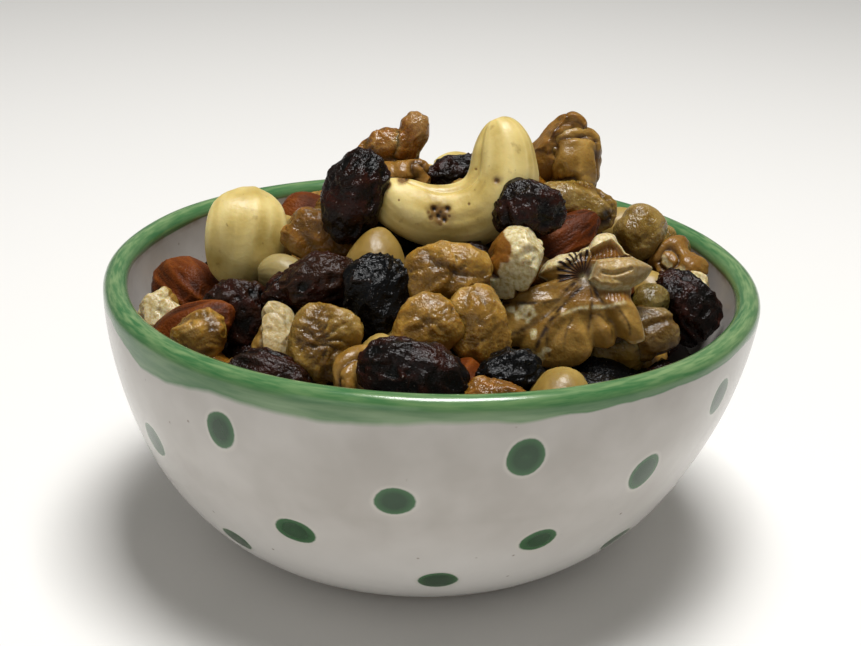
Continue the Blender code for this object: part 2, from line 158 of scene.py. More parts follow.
# A share from 0 to 1 as a product: each part names a source and the two values of it that mean 0 and 1,
# with other ends than 0 and 1 after them where it has any
def shareOf(tree, sources, parts):
    share = None
    for label, *span in parts:
        part = sources[label]
        if span:
            ends = dict(zip(("From Min", "From Max", "To Min", "To Max"), span))
            part = addNode(tree, "MapRange", {"Value": part, **ends}).outputs[0]
        if share:
            part = addNode(tree, "Math", {0: share, 1: part}, operation="MULTIPLY").outputs[0]
        share = part
    return share


# Lays layers over a first colour: each is a hex colour, or one with layers of its own, and its share's parts
def layered(tree, sources, first, layers):
    colour = hexColour(first)
    for above, *parts in layers:
        above = hexColour(above) if isinstance(above, str) else layered(tree, sources, *above)
        mix = {0: shareOf(tree, sources, parts), 6: colour, 7: above}
        colour = addNode(tree, "Mix", mix, data_type="RGBA").outputs[2]
    return colour


# A new material, its node tree and its main shader
def newMaterial(name):
    material = bpy.data.materials.new(name)
    material.use_nodes = True
    tree = material.node_tree
    return material, tree, tree.nodes["Principled BSDF"]


print("stage: bowl")

bowlShape = {
    "rimRadius": 60, "height": 51, "rimWall": 4.4, "floorHeight": 6,
    "baseRadius": 28, "innerBase": 22, "wallRise": 0.59, "wallSweep": 1.54,
    "footRing": 5, "footRecess": 0.9, "lean": 2.3, "wobble": 0.35,
    "sides": 420, "ripple": 0.16, "ripplePeriod": 15, "rimWave": 0.25,
}
wallTop = bowlShape["height"] - bowlShape["rimWall"] / 2  # where the lip's round starts

bowlPaint = {
    # lower edge of the green band: degrees round from the viewer, height in mm
    "bandEdge": (
        (-180, 47), (-160, 45.6), (-142, 47.2), (-120, 46.6), (-100, 47.4), (-78, 46.8), (-66, 48.4),
        (-58, 46.2), (-53, 44.5), (-45, 44.7), (-41, 45.6), (-35, 46.6), (-24, 46.2), (-15, 46.1), (-7, 46.7),
        (2, 47.5), (9, 47.7), (14, 47), (20, 47.6), (30, 48), (42, 48.3), (55, 48.2), (62, 48.6),
        (80, 47.4), (98, 46), (112, 47.3), (130, 46.2), (150, 47.5), (165, 46.4), (180, 47),
    ),
    "innerEdge": 48.6, "innerWave": 0.6, "strokeStretch": 0.12,
    # the paint's lower edge: crisp at the sides and soft where the brush ran dry, by degrees
    "washedFrom": (-180, -60, -36, 4, 24, 180), "washedBy": (1.0, 1.0, 3.4, 3.4, 1.0, 1.0),
    # rings of spots: the visible ones by degrees, height, width and height in mm; hidden ones follow evenly
    "spotRings": (
        ((-33.2, 40, 5.8, 7.4), (15.5, 40.8, 6.2, 6.9), (55.9, 41.4, 5.8, 6.8)),
        ((-54.9, 29.4, 6.4, 6.6), (-3.8, 32.4, 7, 5.9), (39.3, 32.4, 6.2, 7.2)),
        ((-22, 22.1, 7.6, 6), (21.9, 22, 6.3, 5.6)),
        ((-40.5, 12.6, 6.6, 5.6), (5.1, 12.5, 6.6, 6.2), (47, 13.2, 7, 6)),
    ),
    "spotStep": 45.0, "spotJitter": 3.5, "spotSeed": 3,
}


# The wall's curve: its radius goes from the base's to the edge's as the share of its height goes from 0 to 1
def wallRadius(share, base, edge):
    return edge - (edge - base) * (1 - share ** bowlShape["wallRise"]) ** bowlShape["wallSweep"]


def outerRadius(height):
    return wallRadius(rise(height, 0, wallTop), bowlShape["baseRadius"], bowlShape["rimRadius"])


def innerRadius(height):
    low, edge = bowlShape["floorHeight"], bowlShape["rimRadius"] - bowlShape["rimWall"]
    return wallRadius(rise(height, low, wallTop - low), bowlShape["innerBase"], edge)


# The base sits a little left of the rim, as the bowl was made by hand
def axisShift(height):
    return -bowlShape["lean"] * (1 - height / bowlShape["height"])


# (radius, height) from the middle of the foot out, up the wall, over the lip, down and in to the floor
def bowlProfile():
    lip = bowlShape["rimWall"] / 2
    ring = bowlShape["baseRadius"] - bowlShape["footRing"]
    upward = np.linspace(0, 1, 72) ** 1.7
    turn = np.linspace(0, math.pi, 26)[1:-1]
    fall = np.linspace(1, 0, 52) ** 1.7
    inside = bowlShape["floorHeight"] + fall * (wallTop - bowlShape["floorHeight"])
    radius = np.concatenate([
        np.linspace(2, ring - bowlShape["footRecess"], 5), [ring],
        outerRadius(upward * wallTop),
        bowlShape["rimRadius"] - lip + lip * np.cos(turn),
        innerRadius(inside), np.linspace(bowlShape["innerBase"], 2, 4)[1:],
    ])
    height = np.concatenate([
        np.full(5, bowlShape["footRecess"]), [0.0],
        upward * wallTop, wallTop + lip * np.sin(turn), inside, np.full(3, bowlShape["floorHeight"]),
    ])
    outside = 6 + len(upward) + len(turn) // 2  # rings up to the crest of the lip
    return radius, height, outside


# All spots as rows of degrees, height, width and height, the hidden ones spread evenly with a seeded jitter
def paintedSpots():
    rng = np.random.default_rng(bowlPaint["spotSeed"])
    spots = []
    for ring in bowlPaint["spotRings"]:
        spots += ring
        first, last = ring[0][0] + 360, ring[-1][0]
        count = round((first - last) / bowlPaint["spotStep"]) - 1
        for step in range(1, count + 1):
            jitter = rng.uniform(-1, 1, 3)
            degrees = last + (first - last) * step / (count + 1) + bowlPaint["spotJitter"] * jitter[0]
            level, width, tall = ring[0][1] + 0.9 * jitter[1], 6.4 + 0.5 * jitter[2], 6.3 - 0.5 * jitter[0]
            spots.append((degrees, level, width, tall))
    return spots


# The bowl: its profile turned round a leaning axis, with slow ripples in the wall and a wavy rim.
# Values for the paint: mm inside the green band, mm inside the nearest spot, mm out from the lip's crest,
# the thin line where the band ends inside, and a place along the rim that brush strokes follow.
def makeBowl(material):
    radius, height, outside = bowlProfile()
    angle = np.arange(bowlShape["sides"]) * 2 * math.pi / bowlShape["sides"]
    r, a = np.meshgrid(radius, angle, indexing="ij")
    z = np.repeat(height[:, None], len(angle), 1)
    plain = xyz(r * np.sin(a), -r * np.cos(a), z)
    share = np.clip(z / bowlShape["height"], 0, 1)
    ripple = (softNoise(plain, bowlShape["ripplePeriod"], 5) - 0.5) * 2 * bowlShape["ripple"]
    ripple = ripple * rise(z, 0, 8)
    r = r * (1 + bowlShape["wobble"] / bowlShape["rimRadius"] * np.sin(2 * a + 0.6)) + ripple
    wave = bowlShape["rimWave"] * np.sin(3 * a + 1.0) * share ** 8
    rings = xyz(axisShift(z) + r * np.sin(a), -r * np.cos(a), z + wave)

    degrees = np.degrees((a + math.pi) % (2 * math.pi) - math.pi)
    edge = np.array(bowlPaint["bandEdge"])
    lowEdge = np.interp(degrees, edge[:, 0], edge[:, 1])
    roundRim = xyz(np.sin(a), -np.cos(a), 0 * a) * bowlShape["rimRadius"]
    drips = 0.5 * (softNoise(roundRim, 5.0, 3) - 0.5) + 0.25 * (softNoise(roundRim, 1.4, 4) - 0.5)
    isOuter = (np.arange(len(radius)) < outside)[:, None]
    innerEdge = bowlPaint["innerEdge"] + bowlPaint["innerWave"] * (2 * softNoise(roundRim, 14.0, 8) - 1)
    washed = np.interp(degrees, bowlPaint["washedFrom"], bowlPaint["washedBy"])  # how soft the lower edge is
    band = np.where(isOuter, (z - lowEdge - drips) / washed, z - innerEdge)
    rimLine = np.where(isOuter, 0, bell(z - innerEdge - 0.25, 0.3))

    along = np.concatenate([[0], np.cumsum(np.hypot(np.diff(radius), np.diff(height)))])
    fromCrest = np.repeat((along[outside - 1] - along)[:, None], len(angle), 1)
    spot = np.full(z.shape, -9.0)
    for where, level, width, tall in paintedSpots():
        across = outerRadius(level) * np.radians((degrees - where + 180) % 360 - 180)
        upward = (along - np.interp(level, height[6:outside], along[6:outside]))[:, None]
        reach = np.hypot(across / (width / 2), upward / (tall / 2))
        spot = np.maximum(spot, (1 - reach) * min(width, tall) / 2)
    spot = spot + 0.5 * (softNoise(plain, 2.6, 9) - 0.5)
    spot = np.where(isOuter, spot, -9.0)
    brush = roundRim * bowlPaint["strokeStretch"] + xyz(0 * a, 0 * a, fromCrest)
    crown, foot = bowlShape["floorHeight"], bowlShape["footRecess"]
    points, triangles = closedSkin(rings, (axisShift(foot), 0, foot), (axisShift(crown), 0, crown))
    values = closedValues({"bandInside": band, "spotInside": spot, "fromCrest": fromCrest, "rimLine": rimLine})
    values["brush"] = np.concatenate([brush.reshape(-1, 3), brush[0, :1], brush[-1, :1]])
    return meshPiece("bowl_glazed", points, triangles, values, material)


# Tin-glazed earthenware: a warm white glaze, glossy and faintly clouded, over green paint brushed round the
# rim, which shows its strokes, thins to yellow-green on the crest and washes out below; iron specks; bare foot
glaze = {
    "shade": "#B0AAA3",
    "bandEdge": ("bandInside", -0.14, 0.16), "spotEdge": ("spotInside", -0.14, 0.14),
    "white": (
        ("#C0BBB5", ("cloud", 0.35, 0.65)),
        ("#EAE7E3", ("upward", 0.028, 0.009, 0, 0.9)),  # painted light: the wall lighter low down, standing in for light bounced up from the floor
        ("#6E5C4A", ("cells", 0.08, 0.03, 0, 0.8), ("mottle", 0.52, 0.6)),
    ),
    "band": ("#396A3C", (
        ("#4B7546", ("hairs", 0.38, 0.62)),
        ("#95A975", ("loads", 0.4, 0.62, 0, 0.2)),
        ("#8CA37F", ("fromCrest", 2.2, 4.6), ("loads", 0.38, 0.6, 0.35, 0.9), ("aside", 0.025, 0.05, 1, 0.35)),
        ("#95A975", ("fromCrest", 2.8, 0.8), ("fromCrest", -2.2, -0.6), ("aside", 0.02, 0.05, 0.25, 0.42),
         ("hairs", 0.42, 0.66)),
        ("#396A3C", ("bandInside", 0.45, 0.15), ("aside", 0.015, 0.04, 0.1, 0.6)),
    )),
    "line": ("#6B5A41", ("rimLine",), ("mottle", 0.35, 0.6, 0.3, 0.8)),
    "halo": ("#CFCBC2", ("spotInside", -0.75, -0.2, 0, 0.45)),
    "spot": ("#356239", (
        ("#14391C", ("spotInside", 0.15, 1.3), ("cloud", 0.3, 0.7, 0.7, 1)),
        ("#356239", ("spotInside", 2.2, 3), ("mottle", 0.42, 0.6, 0, 0.35)),
    )),
    "clay": "#B79C7E", "foot": ("upward", 0.0012, 0.0004), "roughness": (0.2, 0.8),
}


def glazedEarthenware():
    material, tree, shader = newMaterial("glazed_earthenware")
    place = addNode(tree, "TexCoord", {}).outputs["Object"]
    brush = addNode(tree, "Attribute", {}, attribute_name="brush").outputs["Vector"]
    axes = addNode(tree, "SeparateXYZ", {"Vector": place}).outputs
    sources = meshValues(tree, ("bandInside", "spotInside", "fromCrest", "rimLine"))
    sources.update(
        cloud=noiseFrom(tree, place, 70), mottle=noiseFrom(tree, place, 420, 4),  # 14 mm and 2.4 mm
        hairs=noiseFrom(tree, brush, 1.7, 4), loads=noiseFrom(tree, brush, 0.45),  # 0.6 mm strokes, 2 mm loads
        upward=axes["Z"], aside=addNode(tree, "Math", {0: axes["X"]}, operation="ABSOLUTE").outputs[0],
        cells=addNode(tree, "TexVoronoi", {"Vector": place, "Scale": 210}).outputs["Distance"],  # 5 mm apart
    )
    foot = shareOf(tree, sources, [glaze["foot"]])
    swell = noiseFrom(tree, place, 140, 2)  # 7 mm brushed-on glaze
    bump = addNode(tree, "Bump", {"Height": swell, "Strength": 0.12, "Distance": 0.0008})
    setInputs(tree, shader, {
        "Base Color": layered(tree, sources, glaze["shade"], (
            *glaze["white"], (glaze["band"], glaze["bandEdge"]), glaze["line"], glaze["halo"],
            (glaze["spot"], glaze["spotEdge"]), (glaze["clay"], glaze["foot"]))),
        "Roughness": shareOf(tree, {"foot": foot}, [("foot", 0, 1, *glaze["roughness"])]),
        "IOR": 1.52, "Specular IOR Level": 0.4, "Coat Weight": 0.15, "Coat Roughness": 0.05,
        "Normal": bump.outputs[0],
    })
    return material


bowl = makeBowl(glazedEarthenware())

print("stage: where each piece lies")

# The pieces that show, as they lie: kind, middle (x, y, z), flat side faces (degrees round from the viewer,
# degrees up), turn in the picture, (length, width, thickness), own number
shownPieces = (
    ("cashew", (3.5, -4, 67), (0, 20, 0), (29, 23.5, 11.5), 1),
    ("raisin", (-13.6, -8, 66.3), (-15, 15, 78), (17, 11.2, 9.5), 2),
    ("sultana", (-9, 13, 67.8), (5, 10, 20), (11.5, 10.5, 6.5), 3),
    ("sultana", (-4.9, 13.5, 71), (20, 10, 62), (10.5, 6, 6), 4),
    ("raisin", (3.2, 12, 64.6), (0, 20, 24), (13.5, 7, 7.5), 5),
    ("walnut", (22.1, 13, 70.3), (0, 15, 52), (15.5, 6.6, 6.5), 6),
    ("walnut", (26.4, 12, 68), (10, 20, 80), (13, 10.5, 8.5), 7),
    ("raisin", (16.5, -10, 65.2), (5, 22, 8), (13, 10.6, 9.5), 8),
    ("sultana", (26.1, 4, 61.8), (10, 35, -12), (15, 9.2, 7.5), 9),
    ("almond", (21.5, -4.5, 56.5), (-5, 40, 42), (21.5, 10.5, 8.5), 10),
    ("sultana", (40, 15, 53.5), (20, 25, 35), (10.4, 9.2, 8.5), 11),
    ("hazelnut", (37.2, 22, 51.3), (0, 30, 0), (10.5, 10, 9.5), 12),
    ("sultana", (44.5, 21, 47.8), (20, 30, 10), (12, 9, 8), 13),
    ("walnut", (50.5, 13, 47.3), (0, 30, -40), (10.8, 9.8, 8.5), 14),
    ("walnut", (50, 5, 45.2), (0, 30, -65), (8, 6, 6), 15),
    ("raisin", (46.5, -2, 45.2), (-10, 30, -48), (15, 11.5, 9.5), 16),
    ("sultana", (39.6, -6, 46.3), (0, 30, 70), (8.6, 7, 7), 17),
    ("hazelnut", (41.1, 1, 46.4), (0, 40, 0), (9.5, 9, 9), 18),
    ("walnut_half", (26.3, -20.5, 51.2), (0, 34, 0), (30, 26.5, 5.5), 19),
    ("walnut", (14, -17, 58.2), (-10, 25, 55), (12.5, 9, 8), 20),
    ("sultana", (2.2, -22, 56.6), (0, 28, 4), (16.5, 11.5, 8.5), 21),
    ("sultana", (-0.4, -33.5, 52), (-10, 30, 35), (12, 10.5, 8), 22),
    ("sultana", (8.6, -31, 51.8), (15, 30, 100), (13.5, 10.5, 8.5), 23),
    ("raisin", (-9, -25, 54), (0, 28, 75), (14.5, 12, 9.5), 24),
    ("hazelnut", (-9.8, -14, 56.6), (0, 25, 82), (12.5, 11, 10.5), 25),
    ("raisin", (-19, -20, 54.2), (0, 30, 18), (14, 10, 8.5), 26),
    ("raisin", (-25.5, -19.5, 51.6), (0, 25, 60), (9.5, 6.5, 6.5), 27),
    ("sultana", (-20.2, -6, 58), (0, 28, -18), (14, 10.5, 8.5), 28),
    ("cashew", (-34.2, -2, 55.8), (-80, 8, 98), (19.5, 13.5, 14.5), 29),
    ("almond", (-45.8, -2, 45.4), (-35, 35, 160), (15.5, 12.5, 10.5), 30),
    ("raisin", (-33.6, -18, 47.4), (0, 28, -38), (13.5, 11.5, 9), 31),
    ("sultana", (-38.6, -29.5, 47.6), (-10, 35, 25), (10, 8.8, 7), 32),
    ("almond", (-41, -22.5, 45.4), (-20, 30, 40), (17, 10.5, 8), 33),
    ("walnut", (-48, -13, 44.8), (-20, 30, -40), (9.5, 7.5, 7), 34),
    ("sultana", (-16.9, -37, 50.1), (0, 25, 70), (13, 12.4, 8.5), 35),
    ("raisin", (-25.6, -41.5, 45.4), (0, 35, -16), (15, 9.5, 8), 36),
    ("walnut", (-10.8, -43.5, 47.2), (0, 30, 65), (10, 7, 6.5), 37),
    ("hazelnut", (-8, -38, 47.4), (0, 30, 90), (10.5, 9.5, 9.5), 38),
    ("raisin", (-2.4, -46.5, 49.1), (0, 25, -13), (18.5, 10.5, 8.5), 39),
    ("raisin", (13, -40, 46.8), (0, 30, 20), (11.5, 8.5, 8), 40),
    ("sultana", (11.1, -48.5, 46), (0, 35, -8), (11.5, 7.5, 6.5), 41),
    ("hazelnut", (21.8, -44, 43.7), (0, 30, 80), (11.5, 11, 10.5), 42),
    ("sultana", (36.8, -15.2, 44.1), (0, 30, 17), (14.5, 10.2, 8), 43),
    ("raisin", (27, -33, 39.6), (0, 35, 10), (13, 10, 8), 44),
    ("cashew", (-26.4, -14, 48), (0, 40, 75), (17, 11, 8), 45),
    ("walnut", (-26, -28, 47.4), (0, 30, 80), (12, 6.5, 6.5), 46),
    ("almond", (-24.4, 27, 50.4), (0, 35, -4), (14, 10, 7.5), 47),
    ("sultana", (-20.6, 24, 51.8), (0, 35, 70), (11, 8.5, 7.5), 48),
    ("hazelnut", (-22, 7, 54.4), (0, 60, 20), (12, 10, 8.5), 49),
    ("sultana", (32.5, -15.6, 42.3), (0, 35, -14), (12, 9, 8), 50),
    ("walnut", (-6, 8, 64.6), (0, 25, 10), (11, 8, 7), 51),
)

# Gaps between them: the core sinks there and its painted shade shows, and nothing else is put there
shownGaps = (
    (-5.8, -7.6, 60), (-18.7, 1, 57), (15.1, -25.4, 43), (24, -32, 39), (34.8, 9.3, 50),
    (34, -26.1, 40),
)

heap = {
    "edge": 32, "rise": 34, "spread": 34, "peak": (4, 5),
    "dip": 5, "dipMiddle": (-46, 18), "dipSpread": 12, "gap": 0.5,
    # hidden pieces of the top layer, one at each free place of a jittered grid
    "step": 9.8, "jitter": 1.2, "free": 6.8, "radius": 49, "lift": -0.6, "seed": 7, "firstNumber": 100,
    "sizes": (0.88, 1.1),
    "shares": {
        "raisin": 0.32, "sultana": 0.30, "cashew": 0.08, "almond": 0.10, "hazelnut": 0.08, "walnut": 0.12,
    },
    "usual": {
        "raisin": (13.5, 10.5, 8), "sultana": (13, 10.5, 7.5), "cashew": (22, 14.5, 9.5),
        "almond": (21, 12, 8.5), "hazelnut": (12, 11.5, 11), "walnut": (13, 11.5, 8.5),
    },
    # the layer under it, which shows in the gaps
    "underStep": 10.5, "underJitter": 1.5, "underDrop": 7.5, "underRadius": 47, "underSeed": 21,
    "underFirst": 300,
    "underClear": (20, -25, 12),  # none lies here, under the lower edge of the walnut half
    "coreDrop": 11, "coreReach": 6.5,
}


# The mound through the middles of the top layer: a bell on a flat, with a dip at the left back
def heapHeight(x, y):
    fromPeak = (x - heap["peak"][0]) ** 2 + (y - heap["peak"][1]) ** 2
    fromDip = (x - heap["dipMiddle"][0]) ** 2 + (y - heap["dipMiddle"][1]) ** 2
    mound = heap["edge"] + heap["rise"] * np.exp(-fromPeak / (2 * heap["spread"] ** 2))
    return mound - heap["dip"] * np.exp(-fromDip / (2 * heap["dipSpread"] ** 2))


# Places of a hexagonal grid, each moved a little at random as it is reached
def jitteredGrid(rng, step, steps, jitter):
    for line, place in product(range(-steps, steps + 1), repeat=2):
        x = (place + 0.5 * (line % 2)) * step + rng.uniform(-jitter, jitter)
        yield x, line * step * 0.87 + rng.uniform(-jitter, jitter)


# The hidden pieces of the top layer, drawn in the same order as the solids' were
def fillingPieces():
    rng = np.random.default_rng(heap["seed"])
    taken = [row[1] for row in shownPieces] + list(shownGaps)
    kinds = list(heap["shares"])
    rows = []
    for x, y in jitteredGrid(rng, heap["step"], int(heap["radius"] / heap["step"]) + 2, heap["jitter"]):
        kind = str(rng.choice(kinds, p=list(heap["shares"].values())))
        scale, lean = rng.uniform(*heap["sizes"]), rng.uniform(-25, 25)
        turn, spin = rng.uniform(0, 360, 2)
        nearest = min(math.hypot(x - other[0], y - other[1]) for other in taken)
        if math.hypot(x, y) > heap["radius"] or nearest < heap["free"]:
            continue
        size = tuple(scale * side for side in heap["usual"][kind])
        middle = (x, y, float(heapHeight(x, y)) + heap["lift"])
        rows.append((kind, middle, (spin, 78 + lean, turn), size, heap["firstNumber"] + len(rows)))
        taken.append(middle)
    return rows


# The second layer: one piece at each place of a wider grid, a piece's thickness further down
def underPieces(middles):
    rng = np.random.default_rng(heap["underSeed"])
    rows = []
    clearX, clearY, clearReach = heap["underClear"]
    steps = int(heap["underRadius"] / heap["underStep"]) + 1
    for x, y in jitteredGrid(rng, heap["underStep"], steps, heap["underJitter"]):
        kind = str(rng.choice(("raisin", "sultana", "almond", "hazelnut"), p=(0.5, 0.3, 0.1, 0.1)))
        spin, turn = rng.uniform(0, 360, 2)
        if math.hypot(x, y) > heap["underRadius"] or math.hypot(x - clearX, y - clearY) < clearReach:
            continue
        level = float(coreHeight(np.array([x]), np.array([y]), middles, heap["underDrop"])[0])
        number = heap["underFirst"] + len(rows)
        rows.append((kind, (x, y, level), (spin, 75, turn), heap["usual"][kind], number))
    return rows


# A surface that runs a set drop under the middles of the pieces near by: their mean, weighed by a bell
def coreHeight(x, y, middles, drop):
    reach = np.hypot(x[:, None] - middles[:, 0], y[:, None] - middles[:, 1])
    weight = np.exp(-((reach / heap["coreReach"]) ** 2) / 2)
    mound = 0.05 * heapHeight(x, y)
    return ((weight * middles[:, 2]).sum(1) + mound) / (weight.sum(1) + 0.05) - drop


# A piece's axes: long, wide and flat side, from where its flat side faces and how it is turned
def facingAxes(roundBy, upBy, turn):
    roundBy, upBy, turn = np.radians([roundBy, upBy, turn])
    flat = np.array([math.sin(roundBy) * math.cos(upBy), -math.cos(roundBy) * math.cos(upBy), math.sin(upBy)])
    right = np.array([math.cos(roundBy), math.sin(roundBy), 0.0])
    longWay = math.cos(turn) * right + math.sin(turn) * np.cross(flat, right)
    return np.stack([longWay, np.cross(flat, longWay), flat])


# Puts a piece in its place, and moves it in towards the middle if it would cross the bowl's wall
def setDown(points, row):
    points = points @ facingAxes(*row[2]) + np.array(row[1])
    for _ in range(3):
        height = points[:, 2]
        fromAxis = np.hypot(points[:, 0] - axisShift(height), points[:, 1])
        limit = innerRadius(height) - heap["gap"] - bowlShape["wobble"]
        over = max(0.0, float(np.where(height < bowlShape["height"] + heap["gap"], fromAxis - limit, 0).max()))
        inward = -points.mean(0) * (1, 1, 0)
        points = points + inward / np.linalg.norm(inward) * over
    return points


topPieces = list(shownPieces) + fillingPieces()
topMiddles = np.array([row[1] for row in topPieces] + list(shownGaps))
allPieces = topPieces + underPieces(topMiddles)
print("pieces:", len(shownPieces), "shown,", len(topPieces), "in the top layer,", len(allPieces), "in all")

print("stage: forms of the fruit and nuts")

# Rows from end to end and sides round: for pieces that show, hidden ones, and the layer under them
fineness = {
    "raisin": ((72, 76), (28, 32), (14, 18)),
    "sultana": ((62, 68), (26, 30), (14, 18)),
    "cashew": ((96, 72), (44, 40), (20, 20)), "single": {1: (250, 170)},
    "almond": ((90, 96), (36, 40), (18, 22)),
    "hazelnut": ((56, 64), (28, 32), (14, 18)),
    "walnut": ((96, 92), (36, 38), (20, 20)),
}


def gridFor(kind, number):
    if number in fineness["single"]:
        return fineness["single"][number]
    level = 0 if number < heap["firstNumber"] else 1 if number < heap["underFirst"] else 2
    return fineness[kind][level]


# Rows of an egg that lies along X: place along it, angle round it, and its radius there, sin to a power
def ovalGrid(rows, sides, blunt):
    turn = np.linspace(0, math.pi, rows + 1)[1:-1]
    station, angle = np.meshgrid(turn, np.arange(sides) * 2 * math.pi / sides, indexing="ij")
    return -np.cos(station), angle, np.sin(station) ** blunt


# An oval with a few broad lumps of its own: radius times a sum of sine waves round and along it
def lumpyOval(size, number, kind, blunt, depth):
    rng = np.random.default_rng(number)
    along, angle, radius = ovalGrid(*gridFor(kind, number), blunt)
    waves = zip(rng.integers(1, 4, 4), rng.uniform(1.5, 4.5, 4), rng.uniform(0, 2 * math.pi, 4))
    lumps = sum(np.sin(n * angle + k * along + shift) for n, k, shift in waves)
    radius = radius * (1 + depth * lumps / 2)
    bow = 0.10 * (1 - along ** 2)
    return xyz(along, radius * np.cos(angle) + bow, radius * np.sin(angle)) * np.array(size) / 2


def unit(arrows):
    return arrows / np.maximum(np.linalg.norm(arrows, axis=-1, keepdims=True), 1e-9)


def outwardFrom(shape, size):
    return unit(shape / np.array(size) ** 2)


# Points moved about by soft noise, so that lines drawn from them meander
def meander(points, period, reach, number):
    return points + reach * xyz(*(softNoise(points, period, number + k) for k in (1, 2, 3)))


# Closes a piece's rings, with each end point a little outside the mean of the ring beside it
def closeEnds(rings, values, reach=0.15):
    ends = []
    for ring, inner in ((rings[0], rings[2]), (rings[-1], rings[-3])):
        outward = ring.mean(0) - inner.mean(0)
        ends.append(ring.mean(0) + outward * reach)
    return *closedSkin(rings, *ends), closedValues(values)


driedFruit = {
    # folds from broad to fine, each a period and depth in mm; a minus depth is a crease between lumps
    "raisin": {"blunt": 0.76, "lumps": 0.06, "stretch": 0.62, "sharp": 2.1, "swell": 0.5,
               "folds": ((4.8, 0.50), (2.3, 0.42), (1.15, 0.34))},
    "sultana": {"blunt": 0.70, "lumps": 0.06, "stretch": 0.8, "sharp": 2, "swell": 0.45,
                "folds": ((5.6, -0.85), (3, 0.26), (1.3, 0.20))},
    # the share of the usual folds on plumper pieces, by number
    "plump": {4: 0.8, 11: 0.5, 13: 0.6, 17: 0.45, 22: 0.75, 23: 0.8, 43: 0.8, 50: 0.8},
    # folds drawn together at one place: (x, y), how many, reach and depth in mm
    "gathered": {35: (0.3, 0.4, 8, 4.4, 0.9), 21: (1.6, 0.9, 6, 4, 1), 22: (0.4, 0.4, 5, 3.2, 0.45)},
}


# Raisin or sultana: a lumpy oval whose skin has dried into meandering folds, broad to fine
def raisinForm(kind, size, number):
    fruit = driedFruit[kind]
    shape = lumpyOval(size, number, kind, fruit["blunt"], fruit["lumps"])
    place = meander(shape * (fruit["stretch"], 1, 1), 3.0, 1.3, number)
    sunk = 0
    for step, (period, depth) in enumerate(fruit["folds"]):
        crest = crestLines(place, period, number + 31 * step, fruit["sharp"])
        crest = crest * crest * (3 - 2 * crest)
        sunk = sunk + (depth * (1 - crest) if depth > 0 else -depth * crest)
    sunk = sunk * driedFruit["plump"].get(number, 1.0)
    if number in driedFruit["gathered"]:
        x, y, count, reach, depth = driedFruit["gathered"][number]
        away = np.hypot(shape[..., 0] - x, shape[..., 1] - y)
        way = np.arctan2(shape[..., 1] - y, shape[..., 0] - x) + 1.2 * softNoise(shape, 2.5, number)
        star = abs(np.sin(way * count / 2)) ** 0.7 * rise(away, 0, 1.5)
        sunk = sunk + depth * (1 - star) * bell(away, reach) * (shape[..., 2] > 0)
    rings = shape - outwardFrom(shape, size) * (sunk - fruit["swell"])[..., None]
    return rings, {"relief": 1 - sunk / sum(abs(depth) for period, depth in fruit["folds"])}


# A smooth oval along X with a radius of its own for each place along it
def plainOval(size, along, angle, radius):
    return xyz(along, radius * np.cos(angle), radius * np.sin(angle)) * np.array(size) / 2


# Almond: a flat oval, blunt at one end and pointed at the other, with broad and fine grooves along its skin
def almondForm(kind, size, number):
    along, angle, radius = ovalGrid(*gridFor(kind, number), 0.85)
    shape = plainOval(size, along, angle, radius * (1 - 0.22 * along - 0.10 * along ** 2))
    place = shape * (0.12, 1, 1)
    groove = crestLines(place, 2.6, number, 2.4)
    fine = crestLines(place, 1.0, number + 2, 2.2)
    dent = softNoise(shape, 5.0, number) - 0.5
    rings = shape + outwardFrom(shape, size) * (0.38 * groove + 0.1 * fine + 0.7 * dent - 0.2)[..., None]
    return rings, {"relief": 0.65 * groove + 0.35 * fine}


hazelnutTaper = {25: 0.34, 38: 0.25}  # these two stand with their points up


# Skinned hazelnut: nearly round with a soft point at one end, shallow dents and a faint seam
def hazelnutForm(kind, size, number):
    along, angle, radius = ovalGrid(*gridFor(kind, number), 0.95)
    shape = plainOval(size, along, angle, radius * (1 - hazelnutTaper.get(number, 0.13) * along))
    dent = softNoise(shape, 4.5, number)
    seam = bell(angle - math.pi, 0.10) * 0.25
    lines = crestLines(shape * (0.15, 1, 1), 1.1, number, 2.2)
    rings = shape + outwardFrom(shape, size) * (0.7 * (dent - 0.5) - seam - 0.07 * lines)[..., None]
    return rings, {"relief": 1 - dent * 0.6 - seam - 0.2 * lines}


cashewCurve = {
    "bend": ((-0.43, 0.05), (-0.33, -0.30), (0.55, -0.27), (0.24, 0.44)), "natural": 0.80, "body": 0.205,
    "ends": (5, 0.42), "slimEnds": {29: (2, 0.5)},
    # seams: angle round the section, width in radians and depth as a share of the radius; a minus is a ridge
    "seams": ((0.62, 0.13, 0.09), (5.5, 0.20, 0.05)), "ridges": {29: ((3.3, 0.16, -0.055), (2.6, 0.3, 0.03))},
}
